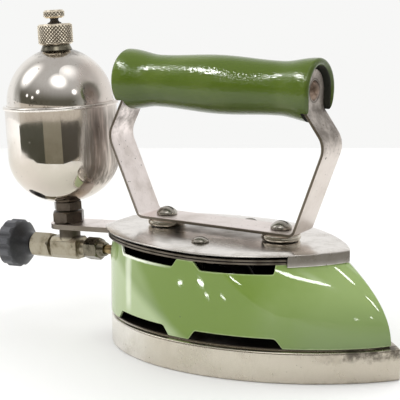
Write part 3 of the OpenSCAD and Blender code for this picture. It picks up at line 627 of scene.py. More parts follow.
@dataclass(frozen=True)
class Enamel(Finish):
    """Thick stove enamel: glassy, a little uneven, pale where it runs thin round an edge, with painted
    reflection, painted shade and painted highlights in its colour.

    Attributes:
        colour: the enamel.
        low: its duller tone low on the nose.
        deep: painted shade along the middle.
        heel: painted reflection, paler round the heel.
        heel_x: where a painted streak of reflection runs down the heel.
        pale: painted highlight on the edges of the rear upper vents, and the colour of the heel streak.
        rim_green: its paler thin edges round every vent, partly painted highlight.
        chip: bare iron in a chip.
    """

    colour: Colour = (0.222, 0.300, 0.110)
    low: Colour = (0.158, 0.222, 0.082)
    deep: Colour = (0.146, 0.222, 0.043)
    heel: Colour = (0.37, 0.45, 0.25)
    heel_x: float = -42.0
    pale: Colour = (0.78, 0.82, 0.68)
    rim_green: Colour = (0.42, 0.50, 0.27)
    chip: Colour = (0.02, 0.018, 0.015)

    def paint(self, shader: Shader) -> None:
        """Clouds, painted shade and painted reflection, pale rims with painted highlights, and chips under a
        glassy surface.

        Args:
            shader: takes the nodes.
        """
        along, height = shader.x, shader.z
        clouds = shader.noise(26.0, 3.0) - 0.5
        # Painted shade: a darker band along the middle of the side.
        middle = (along + height * 0.69 + clouds * 6.0).rise(-1.0, 9.0)
        middle = middle * (1.0 - (along + clouds * 40.0).rise(26.0, 74.0))
        nose = shader.blend((height + clouds * 8.0).rise(20.0, 50.0), self.low, self.colour)
        colour = shader.blend(middle, nose, self.deep)
        # Painted reflection: paler round the heel.
        back = 1.0 - (along + height * 1.5 + clouds * 8.0).rise(15.0, 31.0)
        colour = shader.blend(back, colour, self.heel)
        # Painted reflection: a pale streak down the heel.
        streak = 1.0 - abs(along - self.heel_x + clouds * 6.0).rise(0.6, 4.0)
        colour = shader.blend(streak * height.rise(22.0, 32.0) * 0.55, colour, self.pale)
        rim = shader.attribute("rim")
        ragged = shader.noise(2.4, 4.0, 0.65)
        edge = rim + (ragged - 0.5) * 0.35
        # Painted highlight: white rims on the rear upper vents.
        bright = (1.0 - (along + clouds * 10.0).rise(-34.0, -8.0)) * height.rise(36.0, 44.0)
        # Paler thin enamel round every vent, partly painted highlight.
        colour = shader.blend(edge.rise(0.62, 0.92) * 0.45, colour, self.rim_green)
        colour = shader.blend(edge.rise(0.25, 0.60) * bright, colour, self.pale)
        chips = shader.spots(5.0, 0.8, 0.22) * rim.rise(0.55, 0.8)
        freckles = shader.spots(17.0, 0.6, 0.25) * 0.8
        bare = chips.larger(freckles)
        colour = shader.blend(bare, colour, self.chip)
        shader.set(Base_Color=colour, Roughness=bare * 0.5 + 0.05, IOR=1.46)
        shader.bump(shader.noise(9.0, 2.0), 0.12, 0.35)


@dataclass(frozen=True)
class BrushPaint(Finish):
    """Glossy brushed paint on turned wood, with an uneven skin that breaks up the light.

    Attributes:
        colour: the paint.
        worn: where hands have rubbed it.
        nick: small nicks.
        stroke: the brush marks' factors on the position, long along the grip.
    """

    colour: Colour = (0.047, 0.074, 0.007)
    worn: Colour = (0.075, 0.102, 0.019)
    nick: Colour = (0.03, 0.035, 0.012)
    stroke: Place = (0.55, 1.0, 1.0)

    def paint(self, shader: Shader) -> None:
        """Colour, rubbing and the ripple left by the brush.

        Args:
            shader: takes the nodes.
        """
        ripple = shader.noise(1.2, 2.0, stretch=self.stroke)
        clouds = shader.noise(22.0, 4.0).rise(0.42, 0.72)
        colour = shader.blend(clouds * 0.45, self.colour, self.worn)
        nicks = shader.spots(7.0, 0.55, 0.30)
        colour = shader.blend(nicks * 0.75, colour, self.nick)
        shader.set(Base_Color=colour, Roughness=ripple * 0.08 + nicks * 0.3 + 0.05, IOR=1.5)
        shader.bump(ripple * 0.7 + shader.noise(6.0, 1.0, stretch=self.stroke) * 0.30, 0.26, 0.9)


@dataclass(frozen=True)
class Matt(Finish):
    """A dull moulded or woven surface with worn high spots.

    Attributes:
        colour: the surface.
        worn: its rubbed or dusty places.
        rough: its roughness.
        grain: width of its grain in millimetres.
        wear: share of the worn places.
    """

    colour: Colour = (0.03, 0.03, 0.033)
    worn: Colour = (0.10, 0.10, 0.11)
    rough: float = 0.5
    grain: float = 1.2
    wear: float = 0.6

    def rubbed(self, shader: Shader) -> Value | None:
        """A mask of places rubbed by handling, if the piece has them."""
        return None

    def paint(self, shader: Shader) -> None:
        """Worn clouds and a fine grain.

        Args:
            shader: takes the nodes.
        """
        grain = shader.noise(self.grain, 3.0)
        worn = shader.noise(self.grain * 6.0, 4.0, 0.65).rise(0.45, 0.72) * self.wear
        rubbed = self.rubbed(shader)
        if rubbed is not None:
            worn = worn.larger(rubbed * (grain * 0.9 + 0.25))
        colour = shader.blend(worn, self.colour, self.worn)
        colour = shader.blend((grain - 0.4) * 0.3, colour, self.worn)
        shader.set(Base_Color=colour, Roughness=grain * 0.15 + (self.rough - 0.07))
        shader.bump(grain, 0.06, 0.5)


@dataclass(frozen=True)
class KnobMatt(Matt):
    """The moulded knob: black between its flutes and rubbed grey on them.

    Attributes:
        centre: a place on the knob's axis in millimetres.
        axis: direction of that axis.
        start: radius at which the rubbing starts.
        full: radius at which it is complete.
    """

    centre: Place = (-111.17, 0.0, 45.24)
    axis: Place = (-0.9979, 0.0, -0.0645)
    start: float = 12.4
    full: float = 14.9

    def rubbed(self, shader: Shader) -> Value | None:
        """Rubbing that grows with the distance from the axis.

        Args:
            shader: takes the nodes.

        Returns:
            The mask.
        """
        arm = shader.vector("SUBTRACT", shader.here, self.centre)
        swing = shader.vector("CROSS_PRODUCT", arm, self.axis)
        return shader.vector("DISTANCE", swing, (0.0, 0.0, 0.0)).rise(self.start, self.full)


# The sole's bright heel is a painted reflection.
SOLE_NICKEL = SoleMetal(
    "sole nickel", "nickelled_casting", colour=(0.66, 0.61, 0.52), tarnish=(0.46, 0.41, 0.32),
    gloss=0.25, dull=0.36, cloud=16.0, cover=0.35, pit=0.30, pits=0.12,
)
GREEN_ENAMEL = Enamel("green enamel", "green_enamel")
# Dark as painted shade in the gap under the cover.
SHIELD_STEEL = Metal(
    "shield steel", "plain_sheet", colour=(0.19, 0.165, 0.135), tarnish=(0.08, 0.066, 0.05),
    gloss=0.34, dull=0.55, cloud=9.0, cover=0.8,
)
# The cover's upright rim and skirt take a dark edge colour as painted shade.
COVER_NICKEL = CoverMetal(
    "cover nickel", "satin_nickel", colour=(0.86, 0.82, 0.785), tarnish=(0.47, 0.425, 0.37),
    gloss=0.19, dull=0.40, cloud=20.0, cover=0.65, pit=0.50, pits=0.45,
    edges=Edge.UPRIGHT, edge=(0.075, 0.064, 0.045),
)
# Lighter rear leg and darker front leg: painted light.
STRAP_NICKEL = StrapMetal(
    "strap nickel", "satin_nickel", colour=(0.85, 0.765, 0.735), tarnish=(0.52, 0.45, 0.395),
    gloss=0.31, cloud=18.0, pit=0.45, pits=0.85, edges=Edge.SIDEWAYS, edge=(0.11, 0.09, 0.055),
    rear=(0.97, 0.885, 0.86), front=(0.70, 0.635, 0.585),
    rear_run=(-52.0, -40.0), front_run=(28.0, 44.0), drift=(16.0, 10.0),
)
SCREW_NICKEL = Metal(
    "screw nickel", "screw_steel", colour=(0.52, 0.49, 0.44), tarnish=(0.22, 0.19, 0.15),
    gloss=0.22, dull=0.42, cloud=5.0, cover=0.6, pit=0.25,
)
TANK_NICKEL = TankMetal(
    "tank nickel", "polished_nickel", colour=(0.87, 0.835, 0.785), tarnish=(0.66, 0.575, 0.52),
    gloss=0.045, dull=0.10, cloud=26.0, cover=0.45, pit=0.45, pits=0.16, relief=0.06,
)
SPACER_NICKEL = Metal(
    "spacer nickel", "satin_nickel", colour=(0.72, 0.68, 0.60), tarnish=(0.36, 0.31, 0.24),
    gloss=0.10, dull=0.25, cloud=5.0,
)
RIVET_STEEL = Metal(
    "rivet steel", "screw_steel", colour=(0.27, 0.20, 0.155), tarnish=(0.10, 0.065, 0.045),
    gloss=0.30, dull=0.50, cloud=2.5, cover=0.8,
)
KNURL_NICKEL = KnurlMetal(
    "knurled nickel", "dull_nickel", colour=(0.92, 0.83, 0.68), tarnish=(0.52, 0.43, 0.30),
    gloss=0.24, dull=0.40, cloud=6.0, cover=0.7, pit=0.2,
)
VALVE_BRASS = ValveMetal(
    "valve brass", "dull_brass", colour=(0.42, 0.38, 0.295), tarnish=(0.20, 0.165, 0.10),
    gloss=0.30, dull=0.46, cloud=8.0, cover=0.8, pit=0.22, pits=0.22,
)
UNION_BRASS = Metal(
    "union brass", "dull_brass", colour=(0.22, 0.20, 0.15), tarnish=(0.04, 0.035, 0.025),
    gloss=0.20, dull=0.36, cloud=6.0, cover=0.8, pit=0.22, pits=0.22,
)
NUT_BRASS = Metal(
    "nut brass", "dull_brass", colour=(0.13, 0.107, 0.085), tarnish=(0.05, 0.04, 0.032),
    gloss=0.30, dull=0.5, cloud=7.0, cover=0.8, pit=0.25,
)
BARE_BRASS = Metal(
    "bare brass", "bare_brass", colour=(0.40, 0.30, 0.15), tarnish=(0.16, 0.12, 0.07),
    dull=0.5, cloud=6.0, cover=0.8,
)
BURNER_IRON = Metal(
    "burner iron", "burner_iron", colour=(0.045, 0.04, 0.037), tarnish=(0.025, 0.018, 0.013),
    gloss=0.5, dull=0.7, cloud=6.0, cover=0.8,
)
# Near-black inside of the housing: sooty, and painted shade.
SOOT_AND_SHADE = Matt("soot_and_shade", "green_enamel", colour=(0.010, 0.009, 0.008), worn=(0.022, 0.019, 0.016), rough=0.9)
GRIP_PAINT = BrushPaint("grip paint", "green_wood")
# Near-black unpainted wood in the grip's recesses, as painted shade.
BARE_WOOD_AND_SHADE = Matt(
    "bare wood and shade", "green_wood", colour=(0.016, 0.017, 0.010), worn=(0.035, 0.032, 0.018), rough=0.8,
)
KNOB_BLACK = KnobMatt(
    "knob black", "black_knob", colour=(0.0075, 0.0075, 0.009), worn=(0.105, 0.107, 0.117),
    rough=0.40, grain=0.8, wear=0.10,
)
SEAL_BLACK = Matt("seal black", "seal_rubber", colour=(0.022, 0.016, 0.012), worn=(0.06, 0.048, 0.04))
# Near-black as painted shade in the gap under the cover.
BOARD_GREY = Matt(
    "board grey", "insulating_board", colour=(0.10, 0.09, 0.08), worn=(0.22, 0.20, 0.17), rough=0.85,
)


class MeshMaker:
    """Collects the points and faces of one piece, in millimetres."""

    def __init__(self) -> None:
        """Starts with nothing."""
        self.points: list[Vector] = []
        self.faces: list[list[int]] = []
        self.rim: list[float] = []

    def face(self, corners: Sequence[Vector]) -> None:
        """Adds one face with corners of its own."""
        self.faces.append([len(self.points) + i for i in range(len(corners))])
        self.points.extend(corners)

    def skin(self, rings: Sequence[Ring], caps: bool = True, loop: bool = True) -> None:
        """Joins rings of equal length with quads.

        Args:
            rings: the rings in order.
            caps: whether a face closes the first ring and another the last.
            loop: whether each ring closes on itself.
        """
        start = len(self.points)
        count = len(rings[0])
        for ring in rings:
            self.points.extend(ring)
        for k in range(len(rings) - 1):
            low = start + k * count
            high = low + count
            for i in range(count if loop else count - 1):
                j = (i + 1) % count
                self.faces.append([low + i, low + j, high + j, high + i])
        if caps:
            last = len(self.points) - count
            self.faces.append([start + i for i in reversed(range(count))])
            self.faces.append([last + i for i in range(count)])

    def lathe(self, profile: Plan, place: Matrix, segments: int, caps: bool = True) -> None:
        """Turns a profile of (radius, height) points about the local Z axis of a place."""
        self.skin([circle(place, radius, height, segments) for radius, height in profile], caps)

    def build(self, name: str, sharp: float = SHARP_ANGLE) -> bpy.types.Object:
        """Makes the object, smooth except at sharp edges.

        Args:
            name: the piece's name.
            sharp: angle in degrees above which an edge stays sharp.

        Returns:
            The new object, linked to the scene.
        """
        mesh = bpy.data.meshes.new(name)
        mesh.from_pydata([point * MM for point in self.points], [], self.faces)
        if self.rim:
            mesh.attributes.new("rim", "FLOAT", "POINT").data.foreach_set("value", self.rim)
        work = bmesh.new()
        work.from_mesh(mesh)
        bmesh.ops.remove_doubles(work, verts=work.verts, dist=MERGE_GAP * MM)
        bmesh.ops.recalc_face_normals(work, faces=work.faces)
        work.to_mesh(mesh)
        work.free()
        smooth(mesh, sharp)
        made = bpy.data.objects.new(name, mesh)
        bpy.context.scene.collection.objects.link(made)
        return made


def smooth(mesh: bpy.types.Mesh, sharp: float) -> None:
    """Shades a mesh smooth, except at edges above an angle in degrees."""
    mesh.shade_smooth()
    mesh.set_sharp_from_angle(angle=math.radians(sharp))


def turns(count: int) -> list[float]:
    """Angles of a full turn in equal steps."""
    return [2.0 * math.pi * i / count for i in range(count)]


def circle(place: Matrix, radius: float, height: float, segments: int) -> Ring:
    """A ring about the local Z axis of a place."""
    return [place @ Vector((radius * math.cos(a), radius * math.sin(a), height)) for a in turns(segments)]


def arc(centre: tuple[float, float], radius: float, start: float, end: float, steps: int) -> Plan:
    """Points of a circular arc from a start to an end angle in degrees."""
    angles = [math.radians(start + (end - start) * i / steps) for i in range(steps + 1)]
    return [(centre[0] + radius * math.cos(a), centre[1] + radius * math.sin(a)) for a in angles]


def ring_of(plan: Plan, height: float) -> Ring:
    """A plan outline lifted to a height."""
    return [Vector((x, y, height)) for x, y in plan]


@dataclass(frozen=True)
class Lens:
    """A plan outline that is pointed at the nose and round at the heel.

    Attributes:
        width: half width at the widest section.
        front: widest section to the nose.
        front_taper: 1 for an elliptical nose, 2 for a sharp one.
        rear: widest section to the heel.
        rear_taper: the same for the heel.
        cut: distance at which the heel is cut square.
        steps: steps from the nose to the widest section, and from there to the heel.
        crowd: how much closer the steps lie towards the nose.
    """

    width: float
    front: float
    front_taper: float
    rear: float
    rear_taper: float = 1.0
    cut: float = math.inf
    steps: int = 72
    crowd: float = 1.25

    def point(self, column: float) -> tuple[float, float]:
        """One point of the +Y side.

        Args:
            column: 0 at the nose, 1 at the widest section and 2 at the heel.

        Returns:
            The position along X and the half width there.
        """
        if column <= 1.0:
            turn = math.pi / 2 * column
            return self.front * math.cos(turn), self.width * math.sin(turn) ** self.front_taper
        turn = math.pi / 2 * (column - 1.0)
        return -self.rear * math.sin(turn), self.width * max(0.0, math.cos(turn)) ** self.rear_taper

    def outline(self) -> Plan:
        """The closed outline.

        Returns:
            Its points from the nose along +Y to the heel and back along -Y.
        """
        end = math.asin(min(1.0, self.cut / self.rear)) / (math.pi / 2)
        shares = [i / self.steps for i in range(self.steps + 1)]
        half = [self.point(share**self.crowd) for share in shares]
        half += [self.point(1.0 + end * share) for share in shares[1:]]
        return half + [(x, -y) for x, y in reversed(half[1:]) if y > MERGE_GAP]


def add_bevel(piece: bpy.types.Object, width: float, angle: float = 40.0, segments: int = 2) -> None:
    """Rounds the sharp edges of a piece.

    Args:
        piece: the object.
        width: width of the rounding in millimetres.
        angle: edges sharper than this angle in degrees are rounded.
        segments: steps of the rounding.
    """
    bevel = piece.modifiers.new("rounding", "BEVEL")
    bevel.width = width * MM
    bevel.segments = segments
    bevel.limit_method = "ANGLE"
    bevel.angle_limit = math.radians(angle)
    bevel.harden_normals = True
    bevel.miter_outer = "MITER_ARC"


def carve(piece: bpy.types.Object, cutter: bpy.types.Object) -> None:
    """Cuts one mesh out of another.

    Args:
        piece: the object that is cut.
        cutter: the object that is taken away, and then deleted.
    """
    cut = piece.modifiers.new("cut", "BOOLEAN")
    cut.operation = "DIFFERENCE"
    cut.solver = "EXACT"
    cut.object = cutter
    bpy.context.view_layer.update()
    done = piece.evaluated_get(bpy.context.evaluated_depsgraph_get())
    mesh = bpy.data.meshes.new_from_object(done)
    piece.modifiers.clear()
    piece.data = mesh
    bpy.data.objects.remove(cutter)


class Workshop:
    """Hands finished pieces and CAD nodes over to the frame."""

    def __init__(self, frame: dict) -> None:
        """Keeps the loaded frame's nodes."""
        self.nodes: dict[str, bpy.types.Object] = frame["nodes"]

    def show(self, piece: bpy.types.Object, finish: Finish, node: str, body: Body = Body.IRON) -> None:
        """Puts a new piece in place of a CAD node.

        Args:
            piece: the new object.
            finish: what it looks like.
            node: the CAD node it stands for.
            body: the CAD body it rides on.
        """
        piece.data.materials.clear()
        piece.data.materials.append(finish.material())
        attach(piece, body.value)
        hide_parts(node)
        LOG.info("made %s in %s", piece.name, finish.name)

    def dress(self, finish: Finish, rounding: float, *nodes: str) -> None:
        """Gives CAD nodes their finish and rounds their edges.

        Args:
            finish: what they look like.
            rounding: width of their rounded edges in millimetres, or 0 to leave them sharp.
            nodes: the CAD nodes.
        """
        for node in nodes:
            piece = self.nodes[node]
            mesh = piece.data
            if "custom_normal" in mesh.attributes:
                mesh.attributes.remove(mesh.attributes["custom_normal"])
            mesh.shade_smooth()
            piece.modifiers.new("weld", "WELD").merge_threshold = WELD_GAP * MM
            if rounding:
                add_bevel(piece, rounding)
            else:
                split = piece.modifiers.new("sharp edges", "EDGE_SPLIT")
                split.split_angle = math.radians(SHARP_ANGLE)
            mesh.materials.clear()
            mesh.materials.append(finish.material())
            LOG.info("dressed %s in %s", node, finish.name)


@dataclass
class Sole:
    """The nickelled sole casting."""

    half_width: float = 49.5
    front: float = 104.3
    rear: float = 73.0
    height: float = 17.0
    taper: float = 1.75
    foot_edge: Steps = ((1.2, 0.0), (0.3, 0.3), (0.0, 1.0))
    edge: float = 1.1
    seat_height: float = 1.0
    seat_sunk: float = 0.5
    seat_inset: float = 0.5

    def outline(self, inset: float) -> Plan:
        """The sole's plan outline, drawn in by an inset."""
        return Lens(self.half_width - inset, self.front - inset, self.taper, self.rear - inset).outline()

    def build(self, shop: Workshop, housing: "Housing") -> None:
        """Makes the sole with its rounded upper edge and the seat of the housing.

        Args:
            shop: takes the finished piece.
            housing: gives the seat's outline.
        """
        profile = [*self.foot_edge, (0.0, self.height / 2)]
        profile += arc((self.edge, self.height - self.edge), self.edge, 180, 90, 4)
        maker = MeshMaker()
        maker.skin([ring_of(self.outline(inset), z) for inset, z in profile])
        seat = housing.plan(0.0, self.seat_inset).outline()
        maker.skin([ring_of(seat, self.height + z) for z in (-self.seat_sunk, self.seat_height)])
        shop.show(maker.build("sole_casting"), SOLE_NICKEL, "sole_plate")


@dataclass
class Vents:
    """A pair of vents on either side of a web, at one edge of the housing."""

    web_x: float
    web: float
    rear_length: float
    front_length: float
    height: float
    slope: float = 0.7
    soft: float = 1.4

    def spans(self) -> tuple[tuple[float, float], tuple[float, float]]:
        """Start and end of the rear vent and of the front vent along X."""
        rear, front = self.web_x - self.web / 2, self.web_x + self.web / 2
        return (rear - self.rear_length, rear), (front, front + self.front_length)

    def depth(self, x: float) -> float:
        """Depth of the vents at a distance along the housing.

        Args:
            x: distance along X.

        Returns:
            The depth, 0 where there is no vent.
        """
        deepest = 0.0
        for start, end in self.spans():
            rise = min(x - start, end - x) / self.slope
            if rise > 0.0:
                deepest = max(deepest, self.height - self._soften(self.height - rise))
        return deepest

    def _soften(self, lack: float) -> float:
        """Rounds the corner between a vent's sloping end and its flat edge.

        Args:
            lack: what the slope lacks to the vent's full height, negative past it.

        Returns:
            The lack of the rounded edge.
        """
        if abs(lack) >= self.soft:
            return max(0.0, lack)
        return (lack + self.soft) ** 2 / (4.0 * self.soft)

    def breaks(self) -> list[float]:
        """Places along X where the depth changes quickly.

        Returns:
            The places, in no order.
        """
        sixth = self.slope * self.height / 6.0
        places = []
        for start, end in self.spans():
            for step in range(-2, 11):
                places += (start + sixth * step, end - sixth * step)
        return places


@dataclass
class Housing:
    """The enamelled burner housing: upright walls, a nose that leans back, and vents at both edges.

    Shares count from 0 at the housing's foot to 1 at its top.
    """

    half_width: float = 46.0
    nose_foot: float = 98.8
    nose_rake: float = 27.8
    rear: float = 74.5
    foot: float = 18.0
    height: float = 43.3
    taper: float = 1.65
    top_heel: float = 1.25
    heel_turn: float = 12.0
    wall: float = 1.2
    edge_round: float = 0.5
    bracket_half: float = 11.3
    bracket_drop: float = 1.4
    bracket_soft: float = 0.35
    rim_reach: float = 2.2
    edge_shares: tuple[float, ...] = (0.0, 0.012, 0.03, 0.06, 0.10)
    low_share: float = 0.06
    high_share: float = 0.97
    low_break: float = 0.04
    high_break: float = 0.95
    column_gap: float = 0.0015

    def nose(self, share: float) -> float:
        """Reach of the nose at a share of the height."""
        return self.nose_foot - self.nose_rake * share**2

    def heel_taper(self, share: float) -> float:
        """Roundness of the heel at a share of the height."""
        turn = max(0.0, 1.0 - (1.0 - share) * self.height / self.heel_turn)
        return 1.0 + (self.top_heel - 1.0) * turn**2

    def plan(self, share: float, inset: float = 0.0) -> Lens:
        """Plan outline at a share of the height, drawn in by an inset."""
        nose = self.nose(share) - 1.5 * inset
        return Lens(self.half_width - inset, nose, self.taper, self.rear - inset, self.heel_taper(share))

    def columns(self, lower: Vents, upper: Vents) -> list[float]:
        """Wall columns from the nose to the heel, closer together where a vent ends.

        Args:
            lower: the vents at the foot.
            upper: the vents at the top.

        Returns:
            The columns in order, from 0 at the nose to 2 at the heel.
        """
        even = 60
        quarter = math.pi / 2
        found = [i / even for i in range(2 * even + 1)]
        for vents, share in ((lower, self.low_break), (upper, self.high_break)):
            for x in vents.breaks():
                if x >= 0.0:
                    found.append(math.acos(min(1.0, x / self.nose(share))) / quarter)
                else:
                    found.append(1.0 + math.asin(min(1.0, -x / self.rear)) / quarter)
        for offset in (-self.bracket_soft, self.bracket_soft):
            half = (self.bracket_half + offset) / self.half_width
            found.append(1.0 + math.acos(half ** (1.0 / self.top_heel)) / quarter)
        found.sort()
        return [0.0] + [c for before, c in zip(found, found[1:]) if c - before > self.column_gap]

    def _edges(self, column: float, lower: Vents, upper: Vents) -> tuple[float, float]:
        """Lower and upper edge of the wall at a column.

        Args:
            column: the wall column.
            lower: the vents at the foot.
            upper: the vents at the top.

        Returns:
            The two heights above the foot.
        """
        x_low, _ = self.plan(self.low_share).point(column)
        x_high, y_high = self.plan(self.high_share).point(column)
        drop = upper.depth(x_high)
        if x_high < 0.0 and y_high < self.bracket_half:
            drop = max(drop, self.bracket_drop)
        return lower.depth(x_low), self.height - drop

    def build(self, shop: Workshop, lower: Vents, upper: Vents) -> None:
        """Makes the housing as one skin whose edges follow the vents.

        Args:
            shop: takes the finished piece.
            lower: the vents at the foot.
            upper: the vents at the top.
        """
        start, steps = 0.15, 18
        rows = [*self.edge_shares, *(start + (1.0 - 2 * start) * i / steps for i in range(steps + 1))]
        rows += [1.0 - share for share in reversed(self.edge_shares)]
        half = self.columns(lower, upper)
        edges = {column: self._edges(column, lower, upper) for column in half}
        maker = MeshMaker()
        rings: list[Ring] = []
        for row in rows:
            side = []
            for column in half:
                low, high = edges[column]
                z = low + (high - low) * row
                x, y = self.plan(z / self.height).point(column)
                rim = max(0.0, 1.0 - min(z - low, high - z) / self.rim_reach)
                side.append((x, y, self.foot + z, rim))
            loop = side + [(x, -y, z, rim) for x, y, z, rim in reversed(side[1:-1])]
            rings.append([Vector(spot[:3]) for spot in loop])
            maker.rim += [spot[3] for spot in loop]
        maker.skin(rings, caps=False)
        piece = maker.build("burner_housing", sharp=50.0)
        shell = piece.modifiers.new("sheet", "SOLIDIFY")
        shell.thickness = self.wall * MM
        shell.offset = -1.0
        shell.material_offset = 1
        add_bevel(piece, self.edge_round, angle=60.0, segments=3)
        shop.show(piece, GREEN_ENAMEL, "body_shell")
        # The inner faces are near-black, sooty and painted shade, so the vents look dark inside.
        piece.data.materials.append(SOOT_AND_SHADE.material())


@dataclass
class Cover:
    """The satin cover plate with its skirt round the nose, over two heat shields.

    Each edge is a row of steps: how far in they lie, and how high over the edge's foot.
    """

    half_width: float = 47.7
    front: float = 73.9
    rear: float = 77.5
    cut: float = 74.3
    taper: float = 1.65
    under: float = 65.7
    under_edge: Steps = ((0.6, 0.0), (0.15, 0.1), (0.0, 0.4))
    upper: float = 66.5
    upper_edge: Steps = ((0.0, -0.3), (0.2, 0.0), (0.7, 0.15), (2.75, 0.44), (5.5, 0.77), (7.0, 0.8))
    skirt_x: float = 51.0
    skirt_top: float = 66.0
    skirt_foot: float = 60.0
    skirt_edge: Steps = ((0.0, 0.5), (0.25, 0.0), (1.0, 0.0), (1.2, 0.4))
    skirt_wall: float = 1.2

    def outline(self, inset: float) -> Plan:
        """Plan outline of the cover, drawn in by an inset."""
        rear, cut = self.rear - inset, self.cut - inset
        return Lens(self.half_width - inset, self.front - inset, self.taper, rear, cut=cut).outline()

    def build(self, shop: Workshop) -> None:
        """Makes the plate and its skirt and dresses the shields under them.

        Args:
            shop: takes the finished pieces.
        """
        maker = MeshMaker()
        profile = [(inset, self.under + rise) for inset, rise in self.under_edge]
        profile += [(inset, self.upper + rise) for inset, rise in self.upper_edge]
        maker.skin([ring_of(self.outline(inset), z) for inset, z in profile])
        wall = [(inset, self.skirt_foot + rise) for inset, rise in self.skirt_edge]
        wall = [(0.0, self.skirt_top), *wall, (self.skirt_wall, self.skirt_top)]
        rings = [ring_of(self._nose_run(inset), z) for inset, z in wall]
        maker.skin(rings + [rings[0]], caps=False, loop=False)
        for end in (0, -1):
            maker.face([ring[end] for ring in rings])
        shop.show(maker.build("cover_plate", sharp=30.0), COVER_NICKEL, "top_cover")
        # The shields and the sheet are darkened as painted shade in the gap under the cover.
        shop.dress(SHIELD_STEEL, 0.2, "lower_heat_shield", "upper_heat_shield")
        shop.dress(BOARD_GREY, 0.0, "insulating_sheet")
        shop.dress(SCREW_NICKEL, 0.0, "cover_spacers")

    def _nose_run(self, inset: float) -> Plan:
        """The part of the outline that the skirt follows.

        Args:
            inset: how far the outline is drawn in.

        Returns:
            Its points from the skirt's start on -Y round the nose to its start on +Y.
        """
        plan = self.outline(inset)
        side = plan[: len(plan) // 2]
        ahead = [spot for spot in side if spot[0] > self.skirt_x]
        nearest = min(side, key=lambda spot: abs(spot[0] - self.skirt_x))
        ahead.append((self.skirt_x, nearest[1]))
        return [(x, -y) for x, y in reversed(ahead[1:])] + ahead


